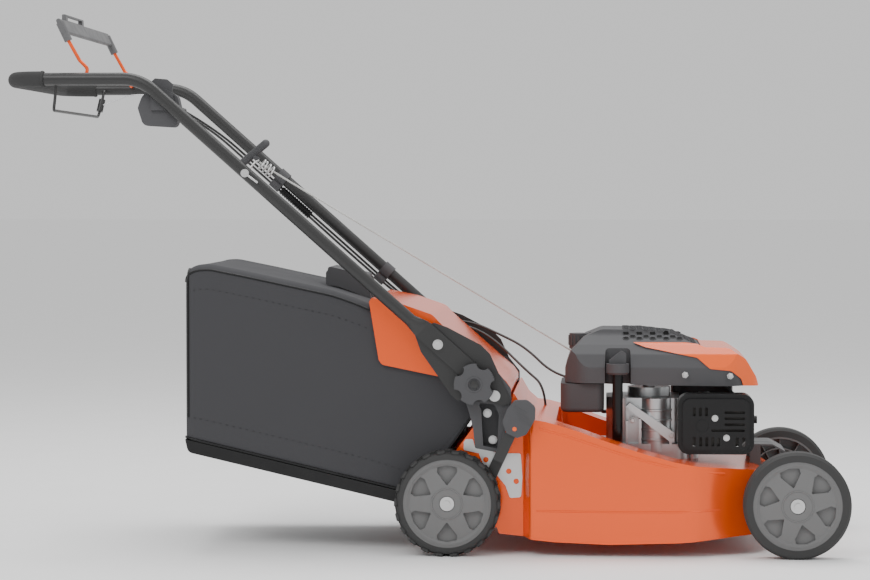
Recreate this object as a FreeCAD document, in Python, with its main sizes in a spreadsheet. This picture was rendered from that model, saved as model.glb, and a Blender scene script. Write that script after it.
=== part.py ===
import FreeCAD, Part
import math
import os
import Sketcher

# Petrol walk-behind lawn mower, in millimetres. +X points forward, +Z up and -Y to the
# operator's right. Every place below is measured from the ground point under the rear axle;
# the placement of each sub-part then moves it so that the origin is the middle of the footprint.

SIZES = [
    ("wheel_radius", 105), ("wheel_width", 50), ("rim_radius", 87), ("wheelbase", 686),
    ("wheel_gap", 7), ("axle_radius", 6), ("running_gap", 0.05), ("body_gap", 0.5),
    ("arm_reach", 62), ("arm_width", 30), ("arm_thickness", 4),
    ("deck_half", 275), ("tower_half", 230), ("nose_half", 208), ("deck_wall", 2),
    ("nose_setback", 32), ("well_edge", 149), ("engine_floor", 178),
    ("crank_x", 400), ("shaft_radius", 12.5), ("blade_length", 490), ("blade_width", 52),
    ("blade_thickness", 4), ("blade_height", 60), ("pulley_radius", 28), ("belt_height", 130),
    ("belt_width", 10), ("gearbox_half", 42),
    ("tube_radius", 12.5), ("tube_wall", 1.5), ("tube_half", 271), ("handle_height", 942),
    ("handle_bend", 609), ("handle_reach", 870), ("grip_radius", 15.5), ("grip_length", 83),
    ("plate_thickness", 3), ("plate_inner", 263.5), ("fold_x", 93), ("fold_z", 317),
    ("knob_radius", 40), ("knob_thickness", 23), ("stud_radius", 5),
    ("bag_half", 222), ("bag_wall", 2), ("bag_length", 530), ("flap_wall", 3),
    ("shroud_half", 150), ("shroud_wall", 3), ("guard_wall", 2.5), ("cable_radius", 2.5),
    ("rope_radius", 1.75),
]

doc = FreeCAD.newDocument("mower")
dims = doc.addObject("Spreadsheet::Sheet", "dims")
for row, (alias, value) in enumerate(SIZES, 1):
    dims.set("A%d" % row, alias)
    dims.set("B%d" % row, str(value))
    dims.setAlias("B%d" % row, alias)
doc.recompute()


def size(alias):
    return float(dims.get(alias))


WHEEL_R = size("wheel_radius")
BASE = size("wheelbase")
FOLD = (size("fold_x"), size("fold_z"))
CRANK_X = size("crank_x")
HANDLE_Z = size("handle_height")
REACH = size("handle_reach")
BEND_X = -size("handle_bend")
TUBE_Y = size("tube_half")
SHIFT = (REACH + size("grip_radius") - BASE - WHEEL_R) / 2
SIDES = (("right", -1), ("left", 1))
CASE_BOLTS = []
PIVOT_STUDS = []
HANDLE_HARDWARE = []


# ---- Helpers -------------------------------------------------------------------------------

def vec(x, y, z):
    return FreeCAD.Vector(x, y, z)


def place(obj):
    obj.Placement = FreeCAD.Placement(vec(SHIFT, 0, 0), FreeCAD.Rotation())


def plane_of(body, role):
    return next(o for o in body.Origin.OriginFeatures if o.Role == role)


def new_body(name):
    body = doc.addObject("PartDesign::Body", name)
    body.Label = name
    place(body)
    return body


def rounded(points):
    """Edges of a closed outline; a point's third number is the radius of its corner."""
    count = len(points)
    corners = []
    for i, point in enumerate(points):
        here = vec(point[0], point[1], 0)
        before = vec(points[i - 1][0], points[i - 1][1], 0)
        after = vec(points[(i + 1) % count][0], points[(i + 1) % count][1], 0)
        radius = point[2] if len(point) > 2 else 0
        back = (before - here).normalize()
        on = (after - here).normalize()
        half = back.getAngle(on) / 2
        if radius <= 0 or half > math.radians(89.5):
            corners.append((here, here, here))
            continue
        reach = radius / math.tan(half)
        middle = (back + on).normalize() * (radius / math.sin(half) - radius)
        corners.append((here + back * reach, here + middle, here + on * reach))
    edges = []
    for i, (start, top, end) in enumerate(corners):
        if (end - start).Length > 1e-6:
            edges.append(Part.Arc(start, top, end))
        following = corners[(i + 1) % count][0]
        if (following - end).Length > 1e-6:
            edges.append(Part.LineSegment(end, following))
    return edges


def circle(x, y, radius):
    return Part.Circle(vec(x, y, 0), vec(0, 0, 1), radius)


def sketch(body, name, role, edges, lift=0.0, bound=None):
    """A sketch on one of the body's own planes; bound is a circle radius from the sheet."""
    sk = body.newObject("Sketcher::SketchObject", name)
    sk.AttachmentSupport = [(plane_of(body, role), "")]
    sk.MapMode = "FlatFace"
    sk.AttachmentOffset = FreeCAD.Placement(vec(0, 0, lift), FreeCAD.Rotation())
    for edge in edges:
        sk.addGeometry(edge, False)
    if bound:
        index = sk.addConstraint(Sketcher.Constraint("Radius", 0, size(bound)))
        sk.setExpression("Constraints[%d]" % index, "dims.%s" % bound)
    return sk


def pad(body, sk, length, alias=None):
    feature = body.newObject("PartDesign::Pad", sk.Name + "_pad")
    feature.Profile = sk
    feature.Length = length
    if alias:
        feature.setExpression("Length", "dims.%s" % alias)
    sk.Visibility = False
    body.Tip = feature
    return feature


def pocket(body, sk, length, reverse=False):
    doc.recompute()
    before = body.Shape.Volume
    feature = body.newObject("PartDesign::Pocket", sk.Name + "_pocket")
    feature.Profile = sk
    feature.Length = length
    feature.Reversed = reverse
    body.Tip = feature
    doc.recompute()
    if body.Shape.Volume > before - 1e-3:
        raise RuntimeError("pocket %s cuts nothing" % sk.Name)
    return feature


def slab(name, points, y_low, y_high, holes=(), alias=None, cuts=()):
    """A plate whose outline lies in X and Z, between two places across the mower."""
    body = new_body(name)
    sk = sketch(body, name + "_outline", "XZ_Plane", rounded(points), -y_high)
    pad(body, sk, y_high - y_low, alias)
    shapes = [[circle(x, z, r)] for x, z, r in holes] + [rounded(c) for c in cuts]
    for i, edges in enumerate(shapes):
        cut = sketch(body, "%s_cut_%d" % (name, i), "XZ_Plane", edges, -y_high - 1)
        pocket(body, cut, y_high - y_low + 2, reverse=True)
    return body


def slab_sided(name, side, points, y_in, thickness, holes=(), alias=None, cuts=()):
    low = side * y_in if side > 0 else -(y_in + thickness)
    return slab(name, points, low, low + thickness, holes, alias, cuts)


def turned(name, profile, x, y, z=0.0, axis="Z"):
    """A turned piece: profile gives radius and place along the axis."""
    body = new_body(name)
    if axis == "Z":
        points = [(r, h) for r, h in profile]
        role, base, line = "XZ_Plane", vec(x, z, -y), "V_Axis"
    else:
        points = [(h, r) for r, h in profile]
        role, base, line = "YZ_Plane", vec(y, z, x), "H_Axis"
    sk = sketch(body, name + "_profile", role, rounded(points))
    sk.AttachmentOffset = FreeCAD.Placement(base, FreeCAD.Rotation())
    feature = body.newObject("PartDesign::Revolution", name + "_turn")
    feature.Profile = sk
    feature.ReferenceAxis = (sk, [line])
    feature.Angle = 360
    sk.Visibility = False
    body.Tip = feature
    return body


def group_bodies(name, bodies):
    """A left and right pair that share one node as separate solids."""
    group = doc.addObject("Part::Compound", name)
    group.Label = name
    group.Links = bodies
    return group


def coded(name, shape):
    """A piece whose shape comes from Part's own functions."""
    obj = doc.addObject("Part::Feature", name)
    obj.Label = name
    obj.Shape = shape
    place(obj)
    return obj


def prism(points, y_low, y_high):
    """Solid with an outline in X and Z, spanning part of the width."""
    edges = [e.toShape() for e in rounded(points)]
    face = Part.Face(Part.Wire(edges))
    face.rotate(vec(0, 0, 0), vec(1, 0, 0), 90)
    face.translate(vec(0, y_high, 0))
    return face.extrude(vec(0, y_low - y_high, 0))


def column(points, z_low, z_high):
    """Solid with an outline in X and Y, between two heights."""
    edges = [e.toShape() for e in rounded(points)]
    face = Part.Face(Part.Wire(edges))
    face.translate(vec(0, 0, z_low))
    return face.extrude(vec(0, 0, z_high - z_low))


def beam(points, x_low, x_high):
    """Solid with an outline in Y and Z, along part of the length."""
    edges = [e.toShape() for e in rounded(points)]
    face = Part.Face(Part.Wire(edges))
    face.rotate(vec(0, 0, 0), vec(1, 1, 1), 120)
    face.translate(vec(x_low, 0, 0))
    return face.extrude(vec(x_high - x_low, 0, 0))


def block(x0, x1, y0, y1, z0, z1):
    return Part.makeBox(x1 - x0, y1 - y0, z1 - z0, vec(x0, y0, z0))


def rod(start, end, radius):
    return Part.makeCylinder(radius, (end - start).Length, start, end - start)


def mirrored(points):
    """Closes a half outline, given from rear to front on the +Y side, across the middle."""
    return points + [(p[0], -p[1]) + tuple(p[2:]) for p in reversed(points)]


def route(points, radii=None, share=0.45):
    """Wire of straight runs joined by tangent arcs; every arc as large as its runs allow."""
    spots = [vec(*p) for p in points]
    edges = []
    last = spots[0]
    used = []
    for i in range(1, len(spots) - 1):
        back = spots[i - 1] - spots[i]
        on = spots[i + 1] - spots[i]
        turn = math.pi - back.getAngle(on)
        reach = share * min(back.Length, on.Length)
        if radii:
            reach = radii[i - 1] * math.tan(turn / 2)
        radius = reach / math.tan(turn / 2)
        back.normalize()
        on.normalize()
        start = spots[i] + back * reach
        end = spots[i] + on * reach
        middle = spots[i] + (back + on).normalize() * (radius / math.cos(turn / 2) - radius)
        edges.append(Part.LineSegment(last, start).toShape())
        edges.append(Part.Arc(start, middle, end).toShape())
        last = end
        used.append(radius)
    edges.append(Part.LineSegment(last, spots[-1]).toShape())
    return Part.Wire(edges), used


def tube(points, radius, radii=None, inner=0.0, label=None):
    """Round tube along a route; a cord's tube prints its bend radii."""
    wire, used = route(points, radii)
    direction = vec(*points[1]) - vec(*points[0])

    def sweep(r):
        section = Part.Wire(Part.makeCircle(r, vec(*points[0]), direction))
        shape = wire.makePipeShell([section], True, False, 2)
        return shape

    solid = sweep(radius)
    if inner > 0:
        solid = solid.cut(sweep(inner))
    if label:
        ideal = math.pi * (radius ** 2 - inner ** 2) * wire.Length
        if abs(solid.Volume / ideal - 1) > 0.01:
            raise RuntimeError("tube %s has the wrong volume" % label)
        print("%s: length %.0f mm, bend radii %s" % (
            label, wire.Length, ", ".join("%.0f" % r for r in used)))
    return solid


def hexagon(x, z, across):
    flat = across / math.sqrt(3)
    return [(x + flat * math.cos(math.radians(60 * i)), z + flat * math.sin(math.radians(60 * i)))
            for i in range(6)]


def hex_bolts(spots, y_face, side, across=13, head=5.5, shank=4.0, grip=8.0):
    """Bolts across the mower: a hexagon head on a washer outside, and a shank that goes in."""
    solids = []
    for x, z in spots:
        washer = rod(vec(x, side * y_face, z), vec(x, side * (y_face + 1.5), z), across * 0.72)
        cap = prism(hexagon(x, z, across), *sorted((side * (y_face + 1.5),
                                                    side * (y_face + 1.5 + head))))
        stem = rod(vec(x, side * (y_face - grip), z), vec(x, side * y_face, z), shank)
        solids.append(washer.fuse([cap, stem]).removeSplitter())
    return solids


# ---- Deck ----------------------------------------------------------------------------------

def deck_plan(inset):
    well = size("well_edge")
    tower = size("tower_half") - inset
    half = size("deck_half") - inset
    nose = BASE - size("nose_setback") - inset
    shoulder = BASE - WHEEL_R - 8
    nose_y = size("nose_half") - inset
    return mirrored([
        (-60, tower), (well + inset, tower, 2), (well + 14 + inset, half - 4, 10),
        (300, half, 60), (shoulder - 90, half, 60), (shoulder - 8 - inset / 2, nose_y + 20, 14),
        (shoulder + 34 - inset / 2, nose_y - 2, 14), (nose - 20, 150, 50), (nose, 90, 60),
    ])


def deck_outer(inset):
    wall = size("deck_wall")
    top = -inset
    nose = BASE - size("nose_setback") - inset
    upper = [
        (BASE - 76, 168 + top), (BASE - 130, 173 + top), (BASE - 189, 179 + top),
        (BASE - 238, 188 + top), (CRANK_X - 1, 201 + top), (350, 216 + top),
        (300, 233 + top), (261, 247 + top), (221, 259 + top), (191, 267 + top), (164, 271 + top),
        (146, 292 + top), (131, 318 + top),
    ]
    rear = [(128, 318 + top), (126, 303 + top), (100, 303 + top), (92, 311 + top)]
    if inset:
        rear = [(112, 318 + top), (100, 303 + top), (92, 311 + top)]
        upper = upper[:-2]
        rear = [(126, 303 + top), (100, 303 + top), (40, 303 + top), (-60, 303 + top)]
    slope = [(-14, 166)] if not inset else [(-60, 162 + wall)]
    if inset:
        floor = [(118, 162 + wall), (118, -5)]
    else:
        floor = [(20, 150), (22, 62, 20), (96, 52), (100, 40)]
    low = [(BASE - 78, 40), (nose, 62)] if not inset else [(nose, -5)]
    points = rear + slope + floor + ([(210, 29), (320, 25), (450, 29)] if not inset else [])
    points += low + [(nose, 152 + top, 14)] + upper
    side = prism(points, -400, 400)
    return side.common(column(deck_plan(inset), -10, 400))


ENGINE_SCREWS = [(310, 84), (310, -84), (490, 84), (490, -84)]
RIVETS = [(40, 219), (133, 193), (135, 120)]


def make_deck():
    wall = size("deck_wall")
    tower = size("tower_half")
    floor = size("engine_floor")
    well = mirrored([(212, 188, 20), (BASE - 96, 188, 20), (BASE - 60, 150, 20)])
    inner_well = mirrored([(212 - wall, 188 + wall, 20), (BASE - 96, 188 + wall, 20),
                           (BASE - 60 + wall, 150 + wall, 20)])
    cavity = deck_outer(wall)
    shell = deck_outer(0).cut(cavity.cut(column(inner_well, floor - wall, 400)))
    shell = shell.cut(column(well, floor, 400))
    axle_room = block(-60, 118 - wall, wall - tower, tower - wall, 40, 162)
    shell = shell.cut(axle_room)
    for side in (-1, 1):
        shell = shell.cut(rod(vec(size("arm_reach"), side * 200, WHEEL_R + 1),
                              vec(size("arm_reach"), side * 260, WHEEL_R + 1), 5))
        shell = shell.cut(rod(vec(BASE - size("arm_reach"), side * 150, WHEEL_R + 1),
                              vec(BASE - size("arm_reach"), side * 260, WHEEL_R + 1), 5))
    openings = [
        block(112, 124, -55, 55, size("belt_height") - 8, size("belt_height") + 24),
        rod(vec(CRANK_X, 0, 100), vec(CRANK_X, 0, 200), 40),
        block(108, 126, 202, 217, 118, 138), block(585, 640, 178, 215, 64, 126),
        block(598, 640, -192, -178, 76, 126),
        rod(vec(185, 120, 240), vec(185, 120, 300), 4),
    ]
    openings += [rod(vec(x, y, 0), vec(x, y, 300), 4) for x, y in ENGINE_SCREWS]
    openings += [rod(vec(x, -tower - 1, z), vec(x, 10 - tower, z), 2.5) for x, z in RIVETS]
    shell = shell.cut(openings)
    return coded("deck_shell", shell.removeSplitter())


def make_flap():
    """Hood over the bag mouth: a top sheet with two cheeks, hung on a rod at its front."""
    wall = size("flap_wall")
    half = size("tower_half") - wall
    outer = [(-159, 500), (-154, 508, 3), (-94, 496, 20), (-33, 475, 25), (-16, 457, 15),
             (114, 343, 10), (123, 330, 4), (123, 316, 2), (98, 312), (40, 330), (-21, 352),
             (-134, 375, 12), (-140, 385)]
    inner = [(-220, 516), (-94, 491.5, 18), (-34, 471, 23), (-18, 454, 13), (112, 339.5, 8),
             (120, 328, 2), (120, 280), (-220, 280)]
    shell = prism(outer, -half, half).cut(prism(inner, wall - half, half - wall))
    lugs = []
    for side in (-1, 1):
        lug = rod(vec(108, side * 190, 322), vec(108, side * (half - wall), 322), 7)
        foot = block(106, 121, *sorted((side * 190, side * (half - wall))), 320, 331)
        lugs.append(lug.fuse(foot))
    bore = rod(vec(108, -300, 322), vec(108, 300, 322), 3 + size("running_gap"))
    coded("discharge_flap", shell.fuse(lugs).cut(bore).removeSplitter())
    PIVOT_STUDS.append(rod(vec(108, -245, 322), vec(108, 245, 322), 3))


def make_strap():
    """Flat carry strap across the nose, bent down at its front and bolted to the deck."""
    nose = BASE - size("nose_setback")
    side = [(nose - 50, 206, 1), (nose - 4, 206, 14), (nose + 22, 192), (nose + 20.2, 189.7),
            (nose - 5, 203, 12), (nose - 50, 203, 1)]
    bar = prism(side, -70, 70)
    legs = [block(nose - 50, nose - 28, y, y + 8, 150, 204) for y in (-70, 62)]
    coded("carry_strap", bar.fuse(legs).cut(deck_outer(0)).removeSplitter())


POST = [(34, 308), (42, 284), (50, 253), (54, 213, 4), (103, 204, 4), (117, 262), (125, 299, 4),
        (125, 331, 6), (100, 362, 10), (40, 366, 10), (22, 345, 6), (22, 318, 6)]
PANEL = [(60, 302, 4), (66, 289, 3), (70, 218, 2), (98, 212, 2), (101, 280, 6), (92, 300, 5)]
PLATE = [(-68, 446, 3), (-53, 403), (7, 318, 4), (17, 308, 3), (62, 305), (72, 309, 8),
         (109, 297, 3), (127, 303, 5), (84, 399, 10), (66, 417, 12), (-1, 452), (-27, 461, 4)]
AXIS = vec(-19, 0, 418)
SLOPE = math.atan2(HANDLE_Z - 418, -19 - BEND_X)
POST_BOLTS = [(77, 280), (88, 227)]
KNOB = (54, 341)
KNOB_SLOT = [(46, 353, 4), (63, 353, 4), (61, 325), (56, 290), (40, 290), (42, 325)]


def make_posts_and_plates():
    tower = size("tower_half")
    inner = size("plate_inner")
    outer = inner + size("plate_thickness")
    lug_top = inner - size("body_gap")
    posts, plates = [], []
    for name, side in SIDES:
        lug = prism(POST, *sorted((side * (lug_top - 4), side * lug_top)))
        foot = prism([p for p in POST if p[1] < 300] + [(125, 312), (34, 312)],
                     *sorted((side * tower, side * lug_top)))
        recess = prism(PANEL, *sorted((side * (tower + 3), side * (lug_top + 1))))
        holes = [rod(vec(x, side * 200, z), vec(x, side * 300, z), r)
                 for x, z, r in ((FOLD[0], FOLD[1], 5), (KNOB[0], KNOB[1], size("stud_radius")))]
        holes.append(rod(vec(108, -300, 322), vec(108, 300, 322), 3))
        holes += [rod(vec(x, side * (tower - 1), z), vec(x, side * (tower + 3), z), 3)
                  for x, z in POST_BOLTS]
        posts.append(lug.fuse(foot).cut([recess] + holes).removeSplitter())
        plates.append(slab_sided("handle_plate_" + name, side, PLATE, inner,
                                 size("plate_thickness"),
                                 [(FOLD[0], FOLD[1], 9.5), (AXIS.x, AXIS.z, 5)],
                                 "plate_thickness", [KNOB_SLOT]))
        CASE_BOLTS.extend(hex_bolts(POST_BOLTS, tower + 3, side, 12, 5, 3, 2.5))
        bush = rod(vec(FOLD[0], side * (lug_top - 12), FOLD[1]),
                   vec(FOLD[0], side * (outer + 1), FOLD[1]), 5)
        collar = rod(vec(FOLD[0], side * (lug_top + 0.05), FOLD[1]),
                     vec(FOLD[0], side * (outer + 1), FOLD[1]), 9.5 - size("running_gap"))
        head = rod(vec(FOLD[0], side * (outer + 0.5), FOLD[1]),
                   vec(FOLD[0], side * (outer + 5), FOLD[1]), 11)
        PIVOT_STUDS.append(bush.fuse([collar, head]).removeSplitter())
        PIVOT_STUDS.append(rod(vec(KNOB[0], side * (lug_top - 10), KNOB[1]),
                               vec(KNOB[0], side * (outer + 27), KNOB[1]), size("stud_radius")))
        make_knob(name, side, outer + 7)
        HANDLE_HARDWARE.extend(hex_bolts([(AXIS.x, AXIS.z)], outer + 6, side, 14, 6, 4.95, 13))
    coded("post_brackets", Part.makeCompound(posts))
    group_bodies("handle_plates", plates)


def make_knob(name, side, face):
    """Star knob with five lobes, turned on the threaded stud."""
    radius = size("knob_radius")
    thick = size("knob_thickness")
    body = new_body("star_knob_" + name)
    high = side * face if side < 0 else side * (face + thick)
    disc = sketch(body, "knob_disc", "XZ_Plane", [circle(KNOB[0], KNOB[1], radius)], -high)
    pad(body, disc, thick, "knob_thickness")
    scallops = []
    for i in range(5):
        angle = math.radians(90 - 23 + 72 * i)
        x = KNOB[0] + (radius + 4) * math.cos(angle)
        z = KNOB[1] + (radius + 4) * math.sin(angle)
        scallops.append(circle(x, z, 13))
    cut = sketch(body, "knob_scallops", "XZ_Plane", scallops, -high - 1)
    pocket(body, cut, thick + 2, reverse=True)
    lift = -(face + thick + 1) if side > 0 else (face + thick - 3)
    recess = sketch(body, "knob_recess", "XZ_Plane", [circle(KNOB[0], KNOB[1], 12)], lift)
    pocket(body, recess, 4, reverse=True)
    bore = sketch(body, "knob_bore", "XZ_Plane",
                  [circle(KNOB[0], KNOB[1], size("stud_radius") + size("running_gap"))], -high - 1)
    pocket(body, bore, thick + 2, reverse=True)


# ---- Handle --------------------------------------------------------------------------------

def along(distance, across=0.0):
    """Point on the straight part of the tube, measured from the tube bolt up the handle."""
    return (AXIS.x - distance * math.cos(SLOPE) + across * math.sin(SLOPE),
            AXIS.z + distance * math.sin(SLOPE) + across * math.cos(SLOPE))


GUIDE_AT = 508


def make_handle():
    radius = size("tube_radius")
    outer = size("plate_inner") + size("plate_thickness")
    foot = along(72)
    path = [(foot[0], -TUBE_Y, foot[1]), (BEND_X, -TUBE_Y, HANDLE_Z), (-REACH, -TUBE_Y, HANDLE_Z),
            (-REACH, TUBE_Y, HANDLE_Z), (BEND_X, TUBE_Y, HANDLE_Z), (foot[0], TUBE_Y, foot[1])]
    radii = [90, 62, 62, 90]
    loop = tube(path, radius, radii, radius - size("tube_wall"))
    for side in (-1, 1):
        low, high = sorted((side * outer, side * (outer + 6)))
        flat = [along(42, 22), along(42, -17), along(-84, -17), along(-84, 22)]
        tab = prism([(x, z, 3) for x, z in flat], low, high)
        start = vec(foot[0], side * TUBE_Y, foot[1])
        ring = Part.Wire(Part.makeCircle(radius, start, start - vec(AXIS.x, side * TUBE_Y, AXIS.z)))
        ends = [along(42, 22), along(42, -17)]
        square = Part.makePolygon([vec(ends[0][0], low, ends[0][1]), vec(ends[0][0], high, ends[0][1]),
                                   vec(ends[1][0], high, ends[1][1]), vec(ends[1][0], low, ends[1][1]),
                                   vec(ends[0][0], low, ends[0][1])])
        neck = Part.makeLoft([ring, square], True)
        hole = rod(vec(AXIS.x, side * 200, AXIS.z), vec(AXIS.x, side * 300, AXIS.z), 5)
        loop = loop.fuse([neck, tab]).cut(hole)
    x, z = along(GUIDE_AT)
    loop = loop.cut(rod(vec(x, -300, z), vec(x, -250, z), 3))
    coded("handle_tube", loop.removeSplitter())


def make_handle_fittings():
    radius = size("tube_radius")
    grip_end = -REACH + size("grip_length") - size("grip_radius")
    path = [(grip_end, -TUBE_Y, HANDLE_Z), (-REACH, -TUBE_Y, HANDLE_Z),
            (-REACH, TUBE_Y, HANDLE_Z), (grip_end, TUBE_Y, HANDLE_Z)]
    coded("grip_sleeve", tube(path, size("grip_radius"), [62, 62], radius + 0.05))

    x, z = along(GUIDE_AT)
    nut = rod(vec(x, -290, z), vec(x, -TUBE_Y - radius, z), 8)
    shank = rod(vec(x, -TUBE_Y - radius, z), vec(x, -252, z), 3)
    stay = rod(vec(x, -286, z), vec(x + 25, -286, z - 19), 2)
    arm = tube([(x, -255, z), (x, -247, z + 4), (x + 14, -243, z + 22), (x + 22, -240, z + 26)], 2)
    eye = Part.makeTorus(11, 2, vec(x + 28, -240, z + 17), vec(0.75, 0.2, -0.63))
    cross = rod(vec(x, -TUBE_Y - radius, z), vec(x, radius - TUBE_Y, z), 3)
    HANDLE_HARDWARE.append(nut.fuse([shank, stay, arm, eye, cross]).removeSplitter())

    clips = []
    for distance in (500, 195):
        start = along(distance - 12)
        end = along(distance + 12)
        low = vec(start[0], TUBE_Y, start[1])
        high = vec(end[0], TUBE_Y, end[1])
        drop = vec(-math.sin(SLOPE), 0, -math.cos(SLOPE)) * 22
        clip = rod(low, high, radius + 3).fuse(rod(low + drop, high + drop, 10))
        clip = clip.cut([rod(low + (low - high), high + (high - low), radius + 0.05),
                         rod(low + drop + (low - high), high + drop + (high - low), 7.5)])
        clips.append(clip.removeSplitter())
    coded("cable_clips", Part.makeCompound(clips))

    housing = [(-617, 885, 8), (-606, 850, 14), (-540, 846, 10), (-531, 880, 8), (-537, 908, 14),
               (-565, 924, 14), (-606, 915, 26)]
    pod = prism(housing, -256, -226)
    dial = rod(vec(-578, -227, 885), vec(-578, -222, 885), 19)
    groove = rod(vec(-578, -227, 885), vec(-578, -220, 885), 15.5).cut(
        rod(vec(-578, -228, 885), vec(-578, -219, 885), 13.5))
    band = rod(vec(-560, -TUBE_Y, 898), vec(-582, -TUBE_Y, 918), radius + 4)
    inside = rod(vec(-460, -TUBE_Y, 809.7), vec(BEND_X, -TUBE_Y, HANDLE_Z), radius + 0.1)
    saddle = block(-590, -545, -262, -250, 880, 915)
    pod = pod.fuse([dial, saddle]).cut([groove, inside])
    slot = block(-602, -543, -246, -236, 893, 930)
    pin = rod(vec(-566, -247, 904), vec(-566, -235, 904), 2.5)
    coded("speed_housing", pod.cut(slot).fuse(pin).removeSplitter())
    lever = prism([(-580, 898, 2), (-594, 935, 3), (-584, 944, 3), (-560, 942, 4), (-548, 932, 4),
                   (-553, 898, 2)], -245.3, -236.7)
    pin_hole = rod(vec(-566, -260, 904), vec(-566, -220, 904), 2.55)
    coded("speed_lever", lever.common(prism([(-600, 903), (-600, 950), (-540, 950), (-540, 903)],
                                            -260, -220)).fuse(
        rod(vec(-566, -245.3, 904), vec(-566, -236.7, 904), 7)).cut(pin_hole).removeSplitter())


BRAKE_PIVOT = (-722, 948)
DRIVE_PIVOT = (-781, 937)


def make_bails():
    inner = TUBE_Y - size("tube_radius") - size("body_gap")
    leg = vec(-0.43, 0, 0.903)
    foot = vec(-757, 0, 1019)
    rods, sleeves = [], []
    for side in (-1, 1):
        points = [(BRAKE_PIVOT[0], side * inner, BRAKE_PIVOT[1]),
                  (BRAKE_PIVOT[0], side * (inner - 11), BRAKE_PIVOT[1]),
                  (-719, side * (inner - 13), 964), (-735, side * (inner - 13), 980),
                  (foot.x, side * (inner - 13), foot.z),
                  (foot.x - 8, side * (inner - 13), foot.z + 17)]
        rods.append(tube(points, 3.5, [5, 9, 9, 12]))
        base = foot + vec(0, side * (inner - 13), 0)
        sleeves.append(rod(base, base + leg * 40, 8))
    coded("brake_bail_rods", Part.makeCompound(rods))
    across = vec(0.903, 0, 0.43)
    corners = [foot + leg * 17 - across * 4.5, foot + leg * 48 - across * 4.5,
               foot + leg * 48 + across * 4.5, foot + leg * 17 + across * 4.5]
    bar = prism([(c.x, c.z, 4) for c in corners], -(inner - 5), inner - 5)
    holes = [rod(vec(foot.x, side * (inner - 13), foot.z) - leg * 5,
                 vec(foot.x, side * (inner - 13), foot.z) + leg * 22, 3.55) for side in (-1, 1)]
    cover = bar.fuse(sleeves).cut(holes).removeSplitter()
    crown = foot + leg * 48
    hoop = prism([(crown.x - 4, crown.z - 6), (crown.x + 5, crown.z - 6), (crown.x + 4, crown.z + 13, 2),
                  (crown.x - 4, crown.z + 13, 2)], -190, -10)
    gap = prism([(crown.x - 20, crown.z + 1), (crown.x + 20, crown.z + 1),
                 (crown.x + 20, crown.z + 9), (crown.x - 20, crown.z + 9)], -172, -28)
    coded("brake_bail_cover", cover.fuse(hoop.cut(gap)).removeSplitter())
    x, z = DRIVE_PIVOT
    points = [(x, -inner, z), (x, 10 - inner, z), (x - 5, 18 - inner, z - 32),
              (x - 10, 28 - inner, z - 56), (x - 10, inner - 28, z - 56),
              (x - 5, inner - 18, z - 32), (x, inner - 10, z), (x, inner, z)]
    start = vec(x - 3, inner - 15, z - 18)
    end = vec(x - 8, inner - 22, z - 44)
    bail = tube(points, 3, [6, 16, 12, 12, 16, 6])
    coded("drive_bail", bail.fuse(rod(start, end, 7)).removeSplitter())


def make_starter():
    x, z = along(GUIDE_AT)
    eye = vec(x + 28, -240, z + 17)
    pull = vec(-0.62, 0.42, 0.66).normalize()
    stem = rod(eye + pull * 12, eye + pull * 26, 5)
    middle = eye + pull * 32
    span = vec(0.72, -0.4, 0.55).normalize()
    grip = rod(middle - span * 38, middle + span * 38, 8)
    ends = [Part.makeSphere(8, middle + span * s) for s in (-38, 38)]
    coded("starter_grip", stem.fuse([grip] + ends).removeSplitter())
    radius = size("rope_radius")
    coded("starter_rope", tube([tuple(eye + pull * 11.5), tuple(eye + vec(6, 1, -4)),
                                (252, -62, 388)], radius, label="starter_rope"))


def beside(distance, across, y):
    """Point next to the straight part of the tube."""
    x, z = along(distance, across)
    return (x, y, z)


CABLES = {
    "drive_cable": [(-640, 262, 905), beside(700, -25, 268), beside(140, -24, 267),
                    beside(40, -14, 248), (10, 239, 432), (70, 214, 404), (140, 160, 340),
                    (185, 120, 306), (185, 120, 244)],
    "brake_cable": [(-650, 268, 918), beside(690, -19, 274), beside(140, -19.5, 273.5),
                    beside(40, -9, 254), (16, 246, 440), (80, 216, 414), (140, 190, 386),
                    (200, 150, 330), (290, 112, 316), (345, 112, 316)],
}


def make_cables():
    for name, points in CABLES.items():
        coded(name, tube(points, size("cable_radius"), label=name))


# ---- Grass bag -----------------------------------------------------------------------------

BAG_SEAM = (-0.2336, 73.2)


def seam_height(x):
    """Height of the seam between the fabric and the base tray."""
    return BAG_SEAM[1] + 26 + BAG_SEAM[0] * x


def bag_side(grow):
    tail = -size("bag_length")
    return [(tail - grow, seam_height(tail) + 0.4), (tail - grow, 568 + grow, 12),
            (-482, 576 + grow, 30), (-236, 524 + grow, 60), (-150, 492 + grow, 30),
            (68 + grow, 322 + grow), (68 + grow, 300), (-63 + grow, seam_height(-63) + 0.4)]


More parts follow.
